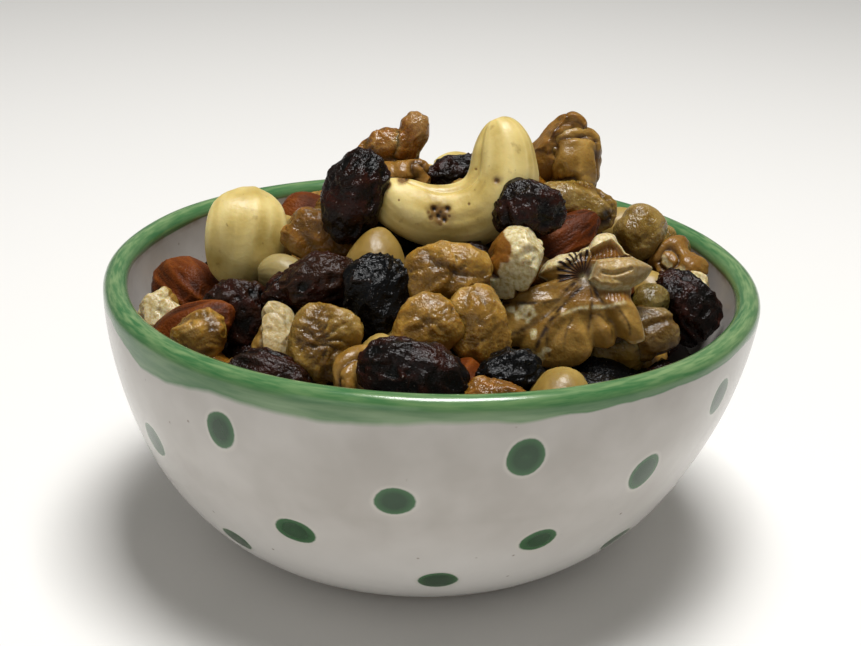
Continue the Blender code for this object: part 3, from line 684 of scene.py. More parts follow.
# Marks on the side that faces the viewer: (x, y) from the middle, radius and pit depth in mm, darkness
pieceMarks = {
    1: ((-3.5, -3.7, 0.6, 0.6, 1), (-1.1, -3.6, 0.5, 0.5, 1), (-2.7, -4.9, 0.6, 0.5, 1),
        (-2.3, -4.3, 0.3, 0.2, 0.9), (-1.6, -5.6, 0.5, 0.4, 1), (-2.3, -4.6, 2.2, 0.3, 0.48),
        (-3.6, -4.5, 1.1, 0.1, 0.4), (-1.3, -4, 1.1, 0.1, 0.4), (-3.9, -5.3, 0.5, 0.2, 0.6),
        (-0.8, -4.9, 0.35, 0.1, 0.6), (-2.3, -6.3, 0.5, 0.1, 0.5), (-4.4, -4.4, 0.5, 0.1, 0.45),
        (-9.3, 1.3, 0.9, 0.25, 0.55), (-8.6, 1.5, 0.45, 0.3, 0.8), (-12, 0.3, 0.7, 0.6, 1),
        (7.4, 1.5, 0.45, 0.3, 0.75), (7.5, 1.5, 1, 0.1, 0.3), (2.6, -2.7, 0.3, 0.1, 0.5),
        (-9.7, -2.4, 0.2, 0.1, 0.6), (3.7, 3.6, 0.25, 0.1, 0.5)),
    9: ((5.2, -1.2, 1.3, 0.4, 0.95), (4.4, -2.2, 0.6, 0.2, 0.7)),
    11: ((0.6, 1.2, 0.3, 0.1, 0.5),),
    17: ((-1.3, 0.9, 0.25, 0.1, 0.9),),
    21: ((1.6, 0.9, 0.5, 0.3, 0.7), (-5.7, 1.2, 0.35, 0.1, 0.8), (-6.2, 0.4, 0.25, 0.1, 0.7)),
    22: ((5.2, 0.7, 0.3, 0.1, 0.7), (3.8, 0.4, 0.25, 0.1, 0.6)),
    23: ((-2.5, 1.5, 0.35, 0.2, 0.8), (-3, 2.6, 0.3, 0.2, 0.8), (3.3, -0.5, 0.25, 0.1, 0.8),
         (3.3, -2.3, 0.25, 0.1, 0.7), (-1.6, 0.6, 0.2, 0.1, 0.7)),
    32: ((-0.2, 1.9, 0.4, 0.2, 0.7), (2.6, 0, 0.45, 0.2, 0.8), (-2.6, -1.6, 0.4, 0.2, 0.6)),
    35: ((1.6, 0.9, 0.4, 0.2, 0.85), (-1.2, 1.6, 0.3, 0.2, 0.6), (-0.6, -3.6, 0.35, 0.1, 0.5)),
}


# Cashew: an oval section carried along a hooked cubic curve, fuller at its far lobe, with a seam along
# its inner side, shallow dents and waxy streaks along it
def cashewForm(kind, size, number):
    rows, sides = gridFor(kind, number)
    even = np.linspace(0, 1, rows + 1)[1:-1]
    share = 0.65 * even + 0.35 * (1 - np.cos(even * math.pi)) / 2
    control = np.array(cashewCurve["bend"]) * size[0]
    path = sum(math.comb(3, k) * (share ** k * (1 - share) ** (3 - k))[:, None] * control[k] for k in range(4))
    heading = sum(
        3 * math.comb(2, k) * (share ** k * (1 - share) ** (2 - k))[:, None] * (control[k + 1] - control[k])
        for k in range(3))
    heading = heading / np.linalg.norm(heading, axis=1, keepdims=True)
    side = np.stack([-heading[:, 1], heading[:, 0]], 1)
    flatness, power = cashewCurve["slimEnds"].get(number, cashewCurve["ends"])
    endsRound = (1 - abs(2 * share - 1) ** flatness) ** power
    half = cashewCurve["body"] * size[0] * endsRound * (0.86 + 0.24 * share)
    angle = np.arange(sides) * 2 * math.pi / sides
    seam = sum(deep * bell(angle - where, width)
               for where, width, deep in cashewCurve["seams"] + cashewCurve["ridges"].get(number, ()))
    flat = path[:, None, :] + side[:, None, :] * (half[:, None] * np.cos(angle) * (1 - seam))[..., None]
    deep = (endsRound * size[2] / 2)[:, None] * np.sin(angle) * (1 - seam)
    stretch = np.array([1, size[1] / size[0] / cashewCurve["natural"], 1])
    rings = np.concatenate([flat, deep[..., None]], -1) * stretch
    outward = rings - np.concatenate([path, np.zeros((len(path), 1))], 1)[:, None, :] * stretch
    outward = unit(outward)
    none = 0 * deep
    around = xyz(none + share[:, None] * size[0] * 0.22, none + np.cos(angle) * 4.5, none + np.sin(angle) * 4.5)
    dent = softNoise(rings, 5.5, number)
    streak = crestLines(meander(around, 2.0, 0.5, number), 1.3, number + 3, 1.6)
    fine = softNoise(around, 0.9, number + 6) - 0.5
    rings = rings + outward * (0.9 * (dent - 0.5) + 0.05 * streak + 0.12 * fine)[..., None]
    return rings, {"relief": 0.5 + 0.5 * (dent - 0.5) + 0.32 * streak + 0.3 * fine - 3 * abs(seam)}


walnutPieces = {
    # faces of the pieces that show: direction in the picture (right, up, to the viewer), then where the
    # cut and the pale flesh begin, as shares of the piece's reach that way
    "broken": {
        6: ((-0.75, 0.6, 0.3, 0.72, 2), (0.2, 0.1, 0.9, 0.7, 2)),
        7: ((-0.1, -0.9, 0.3, 0.85, 0.95),),
        14: ((-0.4, -0.22, 0.9, 0.78, 0.8),),
        15: ((0.3, 0.3, 0.8, 0.75, 0.5),),
        20: ((0.72, 0.6, 0.25, 0.85, 0.3), (0.08, -0.5, 0.85, 0.72, 0.62)),
        34: ((0.1, 0.2, 0.9, 0.8, 0.2), (-0.7, 0.3, 0.4, 0.8, 0.4)),
        37: ((0.4, 0.2, 0.8, 0.8, 0.7),),
        46: ((0, 0.2, 0.95, 0.6, 0.3), (0.5, 0.5, 0.5, 0.6, 0.3)),
        51: ((0.9, -0.3, 0.1, 0.8, 0.9),),
    },
    "furrow": (4.4, 1.05), "wrinkle": (2, 0.28), "rugged": ((2.4, 0.8), (1.1, 0.5)),
    # how orange the skin is, the share of the usual furrows, and how pale the broken faces are
    "orange": {20: 0.9, 51: 0.45, 14: 0.45, 15: 0.2, 6: 0.5, 7: 0, 34: 0, 37: 0.1, 46: 0},
    "smooth": {6: 0.25, 20: 0.8}, "dull": {46: 0.6, 34: 0.8},
}


# Walnut piece: a lumpy oval with soft furrows between round lobes, cut off ruggedly where it broke
def walnutForm(kind, size, number, turn):
    shape = lumpyOval(size, number, kind, 0.70, 0.15)
    place = meander(shape, 4.2, 1.8, number)
    furrow = crestLines(place, walnutPieces["furrow"][0], number, 2.6) ** 1.4
    wrinkle = crestLines(place, walnutPieces["wrinkle"][0], number + 5, 2.2)
    sunk = walnutPieces["furrow"][1] * furrow + walnutPieces["wrinkle"][1] * wrinkle
    sunk = sunk * walnutPieces["smooth"].get(number, 1.0)
    rings = shape - outwardFrom(shape, size) * (sunk - 0.5)[..., None]
    rng = np.random.default_rng(number + 1000)
    faces = walnutPieces["broken"].get(number, ((*rng.normal(size=3), 0.65, 0.65),))
    broken = np.zeros(furrow.shape)
    swing = math.radians(turn)
    rough = sum(deep * (softNoise(rings, period, number + 7) - 0.5) for period, deep in walnutPieces["rugged"])
    for right, up, near, share, paleFrom in faces:
        way = np.array([right * math.cos(swing) + up * math.sin(swing),
                        up * math.cos(swing) - right * math.sin(swing), near])
        way = way / np.linalg.norm(way)
        reach = rings @ way
        over = np.maximum(reach - share * reach.max() - 1.2 * rough, 0)
        pale = np.clip((reach - paleFrom * reach.max() - 2.0 * rough) * 3, 0, 1)
        broken = np.maximum(broken, pale * walnutPieces["dull"].get(number, 1.0))
        rings = rings - 0.85 * over[..., None] * way - (0.5 * rough * pale)[..., None] * way
    orange = np.full(furrow.shape, walnutPieces["orange"].get(number, 0.1 + 0.3 * rng.random()))
    return rings, {"relief": 1 - 0.9 * furrow - 0.3 * wrinkle, "broken": broken, "orange": orange}


# Sinks the pits of a piece's marks into its near side and returns how dark each point is
def applyMarks(rings, number):
    dark = np.zeros(rings.shape[:2])
    for x, y, radius, depth, strength in pieceMarks.get(number, ()):
        away = np.hypot(rings[..., 0] - x, rings[..., 1] - y)
        away = away + 0.5 * radius * (softNoise(rings, 0.8, number) - 0.5)
        spot = bell(away, radius) * (rings[..., 2] > 0)
        rings[..., 2] -= depth * spot
        dark = np.maximum(dark, strength * spot)
    return dark


forms = {
    "raisin": raisinForm, "sultana": raisinForm, "almond": almondForm, "hazelnut": hazelnutForm,
    "cashew": cashewForm,
}
# Each kind's tones from 0 to 1 for the pieces that show: raisins from brown to blue-black, sultanas from
# orange amber over gold to olive; sultana 43 goes past 1 for painted shade, as it lies in shade behind the
# walnut half
pieceTones = {
    2: 0.35, 5: 0.5, 8: 0.5, 16: 0.4, 24: 1.0, 26: 0.0, 27: 0.1, 31: 0.15, 36: 0.3, 39: 0.4, 40: 0.9, 44: 0.9,
    3: 0.1, 4: 0.05, 9: 0.8, 11: 0.8, 13: 0.85, 17: 1.0, 21: 0.5, 22: 0.42, 23: 0.42, 28: 0.15, 32: 0.5,
    35: 0.72, 41: 0.1, 43: 1.3, 48: 0.6, 50: 0.9, 1: 1.0, 29: 0.9, 45: 0.0, 18: 1.0, 25: 0.06, 49: 0.8,
}


# Joins every piece of one kind into one mesh, each with its own tone from 0 to 1
def makeKind(name, kind, material):
    count, total = 0, 0
    allPoints, allTriangles, allValues = [], [], {}
    for row in allPieces:
        if row[0] != kind:
            continue
        size, number = row[3], row[4]
        if kind == "walnut":
            rings, values = walnutForm(kind, size, number, row[2][2])
        else:
            rings, values = forms[kind](kind, size, number)
        values["mark"] = applyMarks(rings, number)
        values["tone"] = np.full(rings.shape[:2], pieceTones.get(number, (number * 0.618) % 1))
        points, triangles, values = closeEnds(rings, values)
        allPoints.append(setDown(points, row))
        allTriangles.append(triangles + total)
        total += len(points)
        count += 1
        for label, numbers in values.items():
            allValues.setdefault(label, []).append(numbers)
    triangles = np.concatenate(allTriangles)
    print(name, count, "pieces,", len(triangles), "triangles")
    joined = {label: np.concatenate(numbers) for label, numbers in allValues.items()}
    return meshPiece(name, np.concatenate(allPoints), triangles, joined, material)


print("stage: skins and kernels")


# Each skin: its mesh values; its noises by their size in mm, of which the last makes the fine bump; a first
# colour and layers over it; the light below its surface by weight, reach in metres and colour; its gloss
skins = {
    # sun-dried raisin skin: nearly black, red-brown where light passes, painted shade down in the folds and a
    # painted highlight on the crests, dusted with sugar
    "raisin_skin": {
        "values": ("relief", "tone"), "noises": {"patch": 4, "grain": 0.55}, "first": "#2D190E",
        "layers": (
            ("#100704", ("tone", 0.05, 0.4)),
            ("#2C1007", ("patch", 0.46, 0.62), ("tone", 0.75, 0.45)),
            ("#060607", ("tone", 0.6, 0.9)),
            # painted shade: darker down in the folds
            ("#040302", ("relief", 0.42, 0.1)),
            # painted highlight: paler on the crests of the folds
            ("#2E2017", ("relief", 0.72, 1, 0, 0.5)),
            ("#A8998A", ("grain", 0.66, 0.74, 0, 0.6), ("patch", 0.5, 0.62)),
        ),
        "glow": (0.12, 0.0015, (1, 0.3, 0.12)), "roughness": (0.10, 0.22), "ior": 1.5, "gloss": 0.2,
        "bump": (0.65, 0.0005),
    },
    # sulphured sultana skin: amber and see-through, wet-looking, from orange over gold to olive, with painted
    # shade in the creases and a painted sheen on the crests
    "sultana_skin": {
        "values": ("relief", "tone", "mark"), "noises": {"patch": 5, "cloud": 3, "grain": 0.7},
        "first": "#855415",
        "layers": (
            ("#A27C32", ("tone", 0.05, 0.45)),
            ("#675926", ("tone", 0.55, 1)),
            # painted shade: tones above 1 darken sultana 43, which lies in shade
            ("#5A3C0C", ("tone", 1, 1.4)),
            ("#5A3C0C", ("cloud", 0.6, 0.4, 0, 0.45)),
            # painted shade: darker amber down in the creases
            ("#5A3C0C", ("relief", 0.5, 0.1, 0, 0.8)),
            # painted sheen: paler on the crests, standing in for light through the thin skin
            ("#C4AC74", ("relief", 0.7, 1, 0, 0.6), ("patch",)),
            ("#3A2010", ("grain", 0.70, 0.76, 0, 0.6)),
            ("#2E1A12", ("mark",)),
        ),
        "glow": (0.85, 0.0026, (1, 0.7, 0.28)), "roughness": (0.10, 0.24), "ior": 1.5, "gloss": 0.38,
        "bump": (0.7, 0.0005),
    },
    # almond skin: dry brown, with a painted highlight on the ridges of its grooves and painted shade down in
    # them, with a dull sheen and a dust of salt
    "almond_skin": {
        "values": ("relief",), "noises": {"patch": 4, "grain": 0.45}, "first": "#592808",
        "layers": (
            # painted highlight: paler on the ridges
            ("#763D12", ("relief", 0.35, 0.85)),
            # painted shade: darker down in the grooves
            ("#321505", ("relief", 0.3, 0, 0, 0.8)),
            ("#321505", ("patch", 0.55, 0.7, 0, 0.5)),
            ("#A8906C", ("grain", 0.68, 0.74, 0, 0.5), ("patch", 0.5, 0.4)),
        ),
        "glow": (0.08, 0.001, (1, 0.4, 0.2)), "roughness": (0.36, 0.5), "ior": 1.45, "gloss": 0.12,
        "bump": (0.6, 0.0004),
    },
    # walnut kernel: a thin golden skin with brown veins over a pale oily kernel that shows where it broke, with
    # painted shade in the furrows
    "walnut_kernel": {
        "values": ("relief", "broken", "mark", "orange"), "noises": {"patch": 4, "grain": 0.7},
        "first": "#7F5D22",
        "layers": (
            ("#A37F3C", ("patch", 0.35, 0.65)),
            ("#754508", ("orange",), ("patch", 0.25, 0.5, 0.6, 1)),
            # painted shade: darker in the furrows and other low places
            ("#4B2F0D", ("relief", 0.6, 0)),
            (("#B6A068", (("#D8CCA4", ("grain", 0.35, 0.6)),)), ("broken",)),
            ("#1E0D0B", ("mark",)),
        ),
        "glow": (0.4, 0.0018, (1, 0.55, 0.2)), "roughness": (0.24, 0.4), "ior": 1.48, "gloss": 0.38,
        "bump": (0.4, 0.0004),
    },
}


# Raw nut kernel without its skin: smooth, waxy and creamy, faintly mottled, with brown bruises; a painted
# highlight on the cashews' raised lobes and painted shade in seams and deep hollows
def creamKernel(shade, cream, light, dull, bruiseAndShade, pit):
    return {
        "values": ("relief", "mark", "tone"), "noises": {"patch": 5, "bruiseAndShade": 2.2, "fleck": 1.1},
        "first": shade,
        "layers": (
            (cream, ("patch", 0.3, 0.65)),
            # painted highlight: lighter where the relief value is high, on the cashews' raised lobes
            (light, ("relief", 0.55, 0.9, 0, 0.5)),
            (dull, ("tone", 0.3, 0, 0, 0.7)),
            # painted shade: the bruise brown where the relief value is low, in the seams and deep hollows
            (bruiseAndShade, ("relief", 0.35, 0.05, 0, 0.6)),
            (bruiseAndShade, ("bruiseAndShade", 0.64, 0.8, 0, 0.5)),
            (bruiseAndShade, ("fleck", 0.70, 0.78, 0, 0.5)),
            ("#6A4415", ("mark", 0.08, 0.36, 0, 0.9)),
            (pit, ("mark", 0.45, 0.9)),
        ),
        "glow": (0.35, 0.002, (1.0, 0.6, 0.25)), "roughness": (0.34, 0.46), "ior": 1.46, "gloss": 0.45,
        "bump": (0.3, 0.0003),
    }


skins["cashew_kernel"] = creamKernel("#B59C54", "#D3BC74", "#E6D596", "#75663F", "#6E4A20", "#150A04")
skins["hazelnut_kernel"] = creamKernel("#876B2D", "#A18643", "#BCA25E", "#7C6026", "#7E5C2C", "#4A2E16")


def makeSkin(name):
    skin = skins[name]
    material, tree, shader = newMaterial(name)
    place = addNode(tree, "TexCoord", {}).outputs["Object"]
    sources = meshValues(tree, skin["values"])
    for label, size in skin["noises"].items():
        sources[label] = noiseFrom(tree, place, 1000 / size)
    finest = sources[list(skin["noises"])[-1]]
    bump = addNode(tree, "Bump", {"Height": finest, "Strength": skin["bump"][0], "Distance": skin["bump"][1]})
    weight, reach, radius = skin["glow"]
    setInputs(tree, shader, {
        "Base Color": layered(tree, sources, skin["first"], skin["layers"]),
        "Roughness": shareOf(tree, sources, [("patch", 0.35, 0.65, *skin["roughness"])]),
        "Subsurface Weight": weight, "Subsurface Radius": radius, "Subsurface Scale": reach,
        "IOR": skin["ior"], "Specular IOR Level": skin["gloss"], "Normal": bump.outputs[0],
    })
    return material


# Painted shade: the core's dark, uneven colour stands in for the shadow deep in the gaps between the pieces
def packedCore():
    material, tree, shader = newMaterial("painted_shade_core")
    place = addNode(tree, "TexCoord", {}).outputs["Object"]
    patch = noiseFrom(tree, place, 160, 5)  # 6 mm patches
    # painted shade: near-black browns for the shadow in the gaps
    colour = layered(tree, {"patch": patch}, "#120906", [("#2A170C", ("patch",))])
    setInputs(tree, shader, {"Base Color": colour, "Roughness": 0.6})
    return material


# The core: the bowl's hollow closed by an uneven top that runs well under the pieces, coloured with painted
# shade where it shows in the gaps
def makeCore(material):
    sides, wallRows, topRows = 96, 14, 22
    angle = np.arange(sides) * 2 * math.pi / sides
    floor = bowlShape["floorHeight"] + heap["gap"]
    brim = 33.0  # the core meets the wall low down, out of sight
    wallHeight = floor + (np.linspace(0, 1, wallRows) ** 1.4) * (brim - floor)
    wallReach = innerRadius(wallHeight) - 2 * heap["gap"]
    topReach = wallReach[-1] * (1 - np.arange(1, topRows + 1) / (topRows + 1))
    reach = np.concatenate([wallReach, topReach])[:, None]
    x, y = reach * np.sin(angle), -reach * np.cos(angle)
    under = coreHeight(x[wallRows:].ravel(), y[wallRows:].ravel(), topMiddles, heap["coreDrop"])
    lumps = 3.0 * (softNoise(xyz(x, y, 0 * x)[wallRows:], 8.0, 2) - 0.5)
    height = np.concatenate([np.repeat(wallHeight[:, None], sides, 1), under.reshape(topRows, sides) + lumps])
    rings = xyz(axisShift(height) + x, y, height)
    crown = (0, 0, rings[-1, :, 2].mean())
    points, triangles = closedSkin(rings, (axisShift(floor), 0, floor), crown)
    return meshPiece("heap_core", points, triangles, {}, material)


heapPieces = [makeCore(packedCore())]
for kind, skin in (("raisin", "raisin_skin"), ("sultana", "sultana_skin"), ("cashew", "cashew_kernel"),
                   ("almond", "almond_skin"), ("hazelnut", "hazelnut_kernel"), ("walnut", "walnut_kernel")):
    heapPieces.append(makeKind(kind + "s", kind, makeSkin(skin)))

print("stage: walnut half")

# All of it in mm from the stem, in the plane of the half's flat side: x to the right, y up
walnutHalf = {
    "row": next(row for row in shownPieces if row[0] == "walnut_half"),
    "sides": 400, "nearRows": 112, "farRows": 26, "stem": (0, 6), "thickness": 3.6, "sag": 2.4,
    # the outline: degrees and distance
    "outline": (
        (2, 11.2), (11, 12.6), (20, 10.6), (26, 9.7), (33, 9), (40, 9.1), (48, 9.1), (55, 9.9), (63, 9.6),
        (74, 8.1), (80, 6), (100, 4.7), (120, 5.2), (140, 6.1), (160, 7.1), (177, 7.8), (184, 6), (189, 6.6),
        (194, 12), (197, 14.8), (208, 16.6), (222, 19.2), (228, 16.4), (238, 17), (244, 17.4), (259, 16.2),
        (268, 15.4), (277, 13.5), (280, 11.9), (289, 13), (296, 12.9), (301, 11.7), (305, 12.5), (308, 14.5),
        (316, 15.3), (319, 14.3), (328, 11.8), (337, 9.4), (343, 8.8), (351, 8.7),
    ),
    "rightWing": ((0.8, -0.8), (2, 2.6), (5.1, 3.4), (8.7, 4.1), (12.5, 2.4), (11.2, 0.4), (8.5, -1.4),
                  (5.1, -2.2), (2.6, -2.1)),
    "leftWing": ((-7.9, 0.3), (-6.6, 2.3), (-4.4, 4.1), (-1.6, 5), (-0.3, 4.9), (-1.1, 3.4), (-1.9, 2.2),
                 (-4.7, 1)),
    "archInside": ((1.2, 2.6), (1.2, 4.4), (2.8, 5.3), (4.7, 6.4), (5.8, 5.9), (7.1, 4.3), (9.4, 3.6),
                   (5, 3.2)),
    "striped": ((2.6, -2.4), (5.1, -2.5), (8.4, -1.7), (8.9, -3.2), (8.4, -4.4), (7.1, -4.7), (3.8, -5.3)),
    "ridge": ((-3.7, -7.3), (-0.4, -5.9), (3.5, -5.6), (7.1, -4.6)),
    # furrows between the lobes and veins: three points each, then width and depth or darkness
    "furrows": (
        ((-5.6, -6), (-9.4, -9.4), (-11.4, -12.6), 1.3, 0.8),
        ((-2.6, -8.4), (-5.2, -11.6), (-6, -16), 1.1, 0.6),
        ((0.6, -8.4), (1.2, -10.2), (2.2, -12.2), 1.2, 0.9), ((4.6, -7.6), (5.8, -8.8), (6.1, -10.6), 1.1, 1),
        ((-6, -3.2), (-10, -3.9), (-14.6, -4.2), 1.4, 0.7), ((7.4, -5.8), (8.4, -7), (9.8, -9.6), 0.9, 0.4),
    ),
    "veins": (
        ((-1.8, -1.6), (-5.6, -4.9), (-13.6, -4.9), 0.26, 0.9),
        ((-1, -2), (-6.2, -7.2), (-13, -11), 0.30, 0.75),
        ((-0.3, -2.2), (-4.8, -7), (-8.2, -13.4), 0.34, 0.95),
        ((-4.4, -7.2), (-6.2, -10), (-5.6, -14.2), 0.24, 0.8),
        ((1, -2.2), (1.4, -5), (0.9, -9.6), 0.20, 0.7), ((1.8, -2), (3.2, -4.6), (6, -5.6), 0.28, 0.85),
        ((-2.6, -0.4), (-4.6, -0.7), (-6.2, -1.4), 0.42, 1), ((-1.4, -1.2), (-3, -3), (-4.4, -4.8), 0.40, 0.95),
        ((2.6, -6.8), (4.6, -8.6), (5.2, -10.6), 0.16, 0.6), ((-2, -8), (-3, -10.4), (-3.2, -13.4), 0.16, 0.6),
        ((6.2, -6.2), (7.6, -8), (8.2, -10), 0.18, 0.7),
    ),
    # torn places in the skin: x, y, radius
    "nicks": ((-10.4, -6.7, 1.8), (-12.2, -6.3, 1.1), (-8.7, -10.6, 1), (-7.2, -14.6, 1.6), (-8.6, -14, 1)),
}


# How far each point is from the straight line between a and b
def sideDistance(x, y, a, b):
    across, up = b - a
    t = np.clip(((x - a[0]) * across + (y - a[1]) * up) / max(((b - a) ** 2).sum(), 1e-9), 0, 1)
    return np.hypot(x - a[0] - t * across, y - a[1] - t * up)


# How far each point is from a line bent through a middle point, as a quadratic curve
def curveDistance(x, y, start, middle, end):
    share = np.linspace(0, 1, 16)[:, None]
    start, middle, end = np.array([start, middle, end])
    bend = 2 * middle - (start + end) / 2
    line = (1 - share) ** 2 * start + 2 * share * (1 - share) * bend + share ** 2 * end
    return np.minimum.reduce([sideDistance(x, y, a, b) for a, b in zip(line[:-1], line[1:])])


# How far each point is inside a closed outline: distance to its nearest side, minus outside it
def insideOutline(x, y, corners):
    corners = np.array(corners, float)
    away, inside = np.full(x.shape, 99.0), np.zeros(x.shape, bool)
    for a, b in zip(corners, np.roll(corners, -1, axis=0)):
        away = np.minimum(away, sideDistance(x, y, a, b))
        slope = (y - a[1]) * (b[0] - a[0]) / (b[1] - a[1] + 1e-9) + a[0]
        inside ^= ((a[1] > y) != (b[1] > y)) & (x < slope)
    return np.where(inside, away, -away)


# Rises from 0 at the edge to 1 a few tenths of a mm inside, rounded like the edge of a lens
def lens(inside, width):
    return np.sqrt(1 - (1 - np.clip(inside / width, 0, 1)) ** 2)


# The walnut half: a height over its flat side, in rings round the stem out to its uneven outline. The two
# wings are thick pale lenses, the arch between them is sunk and striped, and below the ridge the skin
# bulges into lobes between furrows; the far side is one plain bulge.
def makeWalnutHalf(material):
    half = walnutHalf
    angle = np.arange(half["sides"]) * 2 * math.pi / half["sides"]
    outline = np.array(half["outline"])
    reach = np.interp(np.degrees(angle), outline[:, 0], outline[:, 1], period=360)
    reach = np.convolve(np.concatenate([reach[-2:], reach, reach[:2]]), [0.08, 0.22, 0.4, 0.22, 0.08], "valid")
    reach = reach + 0.35 * (softNoise(xyz(np.cos(angle), np.sin(angle), 0 * angle) * 12, 1.6, 5) - 0.5)

    def rings(rows):
        share = np.sin(np.linspace(0, math.pi / 2, rows + 1)[1:])
        s, a = np.meshgrid(share, angle, indexing="ij")
        return s, a, s * reach * np.cos(a), s * reach * np.sin(a)

    s, a, x, y = rings(half["nearRows"])
    flat = xyz(x, y, 0 * x)
    away = np.hypot(x, y)
    right, left, arch, striped = (
        insideOutline(x, y, half[name]) for name in ("rightWing", "leftWing", "archInside", "striped"))
    rim = rise(y, 1.2, 0.8) * rise(away, 3.6, 0.8) * rise(-arch, 0, 0.4)
    rim = rim * rise(-right, 0, 0.3) * rise(-left, 0, 0.3)
    ridge = np.minimum(curveDistance(x, y, *half["ridge"][:3]), curveDistance(x, y, *half["ridge"][1:]))
    lower = rise(-y, 1.5, 2)

    furrow, veins = np.zeros(x.shape), np.zeros(x.shape)
    for start, middle, end, width, depth in half["furrows"]:
        furrow = np.maximum(furrow, depth * bell(curveDistance(x, y, start, middle, end), width))
    for start, middle, end, width, dark in half["veins"]:
        thin = width * (1.1 + 0.6 * softNoise(flat, 1.5, 30))
        veins = np.maximum(veins, dark * bell(curveDistance(x, y, start, middle, end), thin))
    dashed = 0.5 + 0.5 * np.clip((softNoise(flat, 0.9, 31) - 0.3) * 3, 0, 1)
    degrees = np.degrees(a)
    strokes = np.clip(0.35 + 0.9 * np.sin(a * 26 + 3 * softNoise(flat, 2.5, 14)), 0, 1)
    fringe = strokes * rise(degrees, 62, 12) * rise(-degrees, -212, 14)
    fringe = fringe * rise(4.4 + 1.2 * softNoise(flat, 1.2, 15), away, 0.6)

    swell = 1.0 * (softNoise(flat, 4.6, 6) - 0.5) + 0.35 * (softNoise(flat, 1.9, 7) - 0.5)
    height = 0.7 - 1.4 * bell(away, 1.8) + 0.7 * bell(ridge, 1.5) - 0.8 * furrow
    height = height + swell * (0.4 + 0.6 * lower) + 0.9 * lower * rise(away, 7, 3)
    height = height + 1.7 * lens(right, 0.8) + 1.3 * lens(left, 0.8) + 1.3 * rim - 0.7 * rise(arch, 0, 0.5)
    fold = bell(curveDistance(x, y, (3.2, 0.2), (5.4, 0.2), (8.0, 1.2)), 0.35) * (right > 0)
    stripes = 0.5 + 0.5 * np.sin(x * 8.5 + 4 * softNoise(flat * (1, 0.3, 1), 1.6, 16))
    height = height - 0.6 * fold + 0.15 * fringe - 0.06 * veins
    height = height + 0.12 * stripes * (np.clip(arch, 0, 1) + np.clip(striped, 0, 1))
    rugged = (softNoise(flat, 1.1, 17) - 0.5) * 0.3 + (softNoise(flat, 0.5, 18) - 0.5) * 0.12
    pale = np.maximum.reduce([rise(right, 0, 0.25), rise(left, 0, 0.25), rim])
    height = height + rugged * pale

    paleEdge = np.maximum(bell(right, 0.35) * (y < 2), 0.8 * bell(left, 0.4) * (y > 2))
    nick = np.zeros(x.shape)
    for nickX, nickY, radius in half["nicks"]:
        torn = np.hypot(x - nickX, y - nickY) + 2.0 * (softNoise(flat, 1.0, 8) - 0.5)
        nick = np.maximum(nick, rise(-torn, -radius, 0.5))
    ridgeLine = 0.9 * bell(ridge, 0.26) * (softNoise(flat, 1.0, 3) > 0.3)
    skinEdge = rise(s, 0.965, 0.025) * ((degrees > 306) | (degrees < 200)) * 0.9
    dotted = bell(right + 0.3, 0.22) * (y > 2.6) * (softNoise(flat, 0.55, 19) > 0.5)
    stemDark = bell(away, 2.5)
    knob = bell(np.hypot(x + 0.1, y + 0.1), 0.75)

    sheet = -half["sag"] * s ** 2
    edgeRound = np.sqrt(1 - s ** 7)
    near = sheet + height * edgeRound + 0.25 * edgeRound
    values = {
        "mark": np.clip(np.maximum.reduce([veins * dashed, stemDark, fringe * 1.3, dotted * 0.8]), 0, 1)
        * (1 - 0.75 * knob) * np.where(right > 0, 0.25, 1),
        "broken": np.clip(np.maximum.reduce([
            pale * np.where(right > 0.25, 0.3, 0.9), paleEdge, nick, ridgeLine, skinEdge, 0.8 * knob]), 0, 1),
        # relief: low in the furrows, the fold and round the stem, where the kernel's colour takes painted shade
        "relief": 1 - 0.65 * np.clip(furrow, 0, 1) - 0.5 * fold - 0.25 * stemDark,
        "orange": np.clip(np.maximum.reduce([
            rise(arch, 0, 0.3) * (0.55 + 0.45 * stripes), rise(striped, 0, 0.6) * (0.4 + 0.5 * stripes),
            0.55 * rise(-away, -6.2, 2.5) * lower, fringe + 0.8 * bell(away, 3.4) * (y > -1)]), 0, 1),
    }
    sFar, aFar, xFar, yFar = rings(half["farRows"])
    far = -half["sag"] * sFar ** 2 - half["thickness"] * np.sqrt(1 - sFar ** 4)
    far = far + 0.9 * (softNoise(xyz(xFar, yFar, 0 * xFar), 4.6, 6) - 0.5) * np.sqrt(1 - sFar ** 4)
    backRings = xyz(xFar, yFar, far)[:-1]
    skin = np.concatenate([backRings, xyz(x, y, near)[::-1]])
    values = closedValues({
        label: np.concatenate([np.full(backRings.shape[:2], 0.9 if label == "relief" else 0.0), numbers[::-1]])
        for label, numbers in values.items()})
    points, triangles = closedSkin(skin, (0, 0, far[0].mean()), (0, 0, near[0].mean()))
    placed = setDown(points + np.array([*half["stem"], 0.0]), half["row"])
    print("walnut_half", len(triangles), "triangles")
    return meshPiece("walnut_half", placed, triangles, values, material)


heapPieces.append(makeWalnutHalf(heapPieces[-1].data.materials[0]))

print("stage: frame, floor, light and camera")

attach(bowl, "root")
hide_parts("bowl")
for piece in heapPieces:
    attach(piece, "root")
    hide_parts("trail_mix")

studio = {
    "floorSize": 3, "floor": "#E6E4E0", "world": "#F2F2F0", "worldStrength": 0.22,
    "keyPlace": (0.05, 0.02, 0.85), "keySize": 0.32, "keyPower": 8.5,
    "fillPlace": (-0.40, -0.85, 0.20), "fillSize": 0.7, "fillPower": 1.3,
}


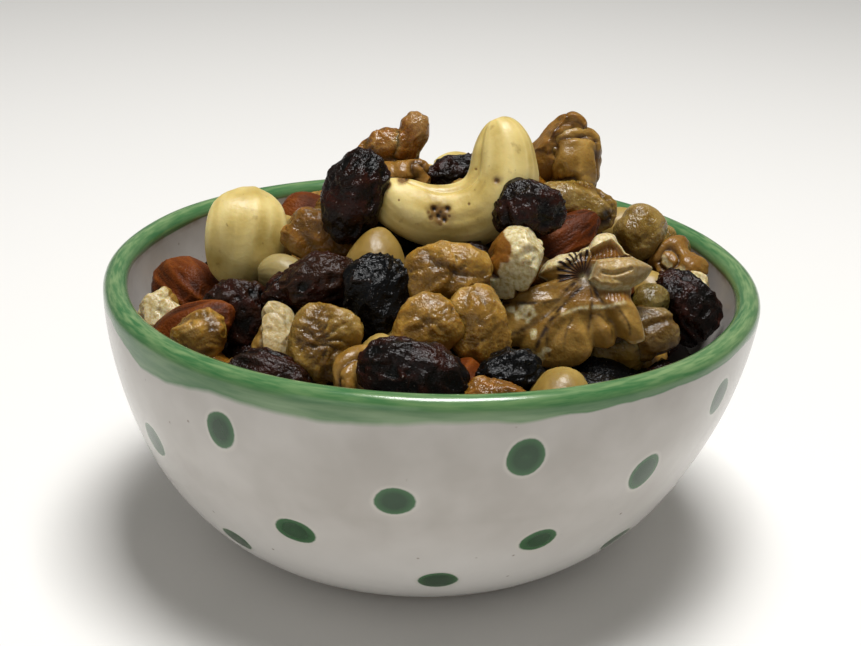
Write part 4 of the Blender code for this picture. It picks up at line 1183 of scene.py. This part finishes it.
def makeFloor():
    half = studio["floorSize"] / 2
    mesh = bpy.data.meshes.new("floor")
    corners = [(-half, -half, 0), (half, -half, 0), (half, half, 0), (-half, half, 0)]
    mesh.from_pydata(corners, [], [(0, 1, 2, 3)])
    floor = bpy.data.objects.new("floor", mesh)
    bpy.context.scene.collection.objects.link(floor)
    material, tree, shader = newMaterial("floor_paper")
    setInputs(tree, shader, {"Base Color": hexColour(studio["floor"]), "Roughness": 0.9})
    mesh.materials.append(material)


def makeSoftbox(name, place, size, power, aim):
    light = bpy.data.lights.new(name, "AREA")
    light.shape = "SQUARE"
    light.size = size
    light.energy = power
    lamp = bpy.data.objects.new(name, light)
    lamp.location = place
    lamp.rotation_euler = (Vector(aim) - Vector(place)).to_track_quat("-Z", "Y").to_euler()
    bpy.context.scene.collection.objects.link(lamp)


makeFloor()
makeSoftbox("key_light", studio["keyPlace"], studio["keySize"], studio["keyPower"], (0, 0, 0.04))
makeSoftbox("fill_light", studio["fillPlace"], studio["fillSize"], studio["fillPower"], (0, 0, 0.03))
world = bpy.data.worlds.new("studio_air")
world.use_nodes = True
setInputs(world.node_tree, world.node_tree.nodes["Background"], {
    "Color": hexColour(studio["world"]), "Strength": studio["worldStrength"]})
bpy.context.scene.world = world
bpy.context.scene.view_settings.view_transform = "Standard"  # the photograph's plain contrast

view = {
    "distance": 0.300, "aimHeight": 0.030, "elevation": 23.6, "pitch": 1.7, "roll": 1.76, "lens": 66.1,
}


# The camera stands in front of the bowl at the photograph's height, looks down a little less steeply than
# at the bowl's middle, and leans to one side by the roll
def makeCamera():
    lift = math.radians(view["elevation"])
    tilt = math.radians(view["elevation"] - view["pitch"])
    roll = math.radians(view["roll"])
    away, above = view["distance"] * math.cos(lift), view["distance"] * math.sin(lift)
    eye = Vector((0, -away, view["aimHeight"] + above))
    forward = Vector((0, math.cos(tilt), -math.sin(tilt)))
    level = Vector((1, 0, 0))
    up = level.cross(forward)
    right = math.cos(roll) * level + math.sin(roll) * up
    pose = Matrix((right, math.cos(roll) * up - math.sin(roll) * level, -forward)).transposed().to_4x4()
    pose.translation = eye
    data = bpy.data.cameras.new("camera")
    data.lens = view["lens"]
    data.sensor_width = 36
    data.clip_start = 0.01
    camera = bpy.data.objects.new("camera", data)
    camera.matrix_world = pose
    bpy.context.scene.collection.objects.link(camera)
    bpy.context.scene.camera = camera


makeCamera()
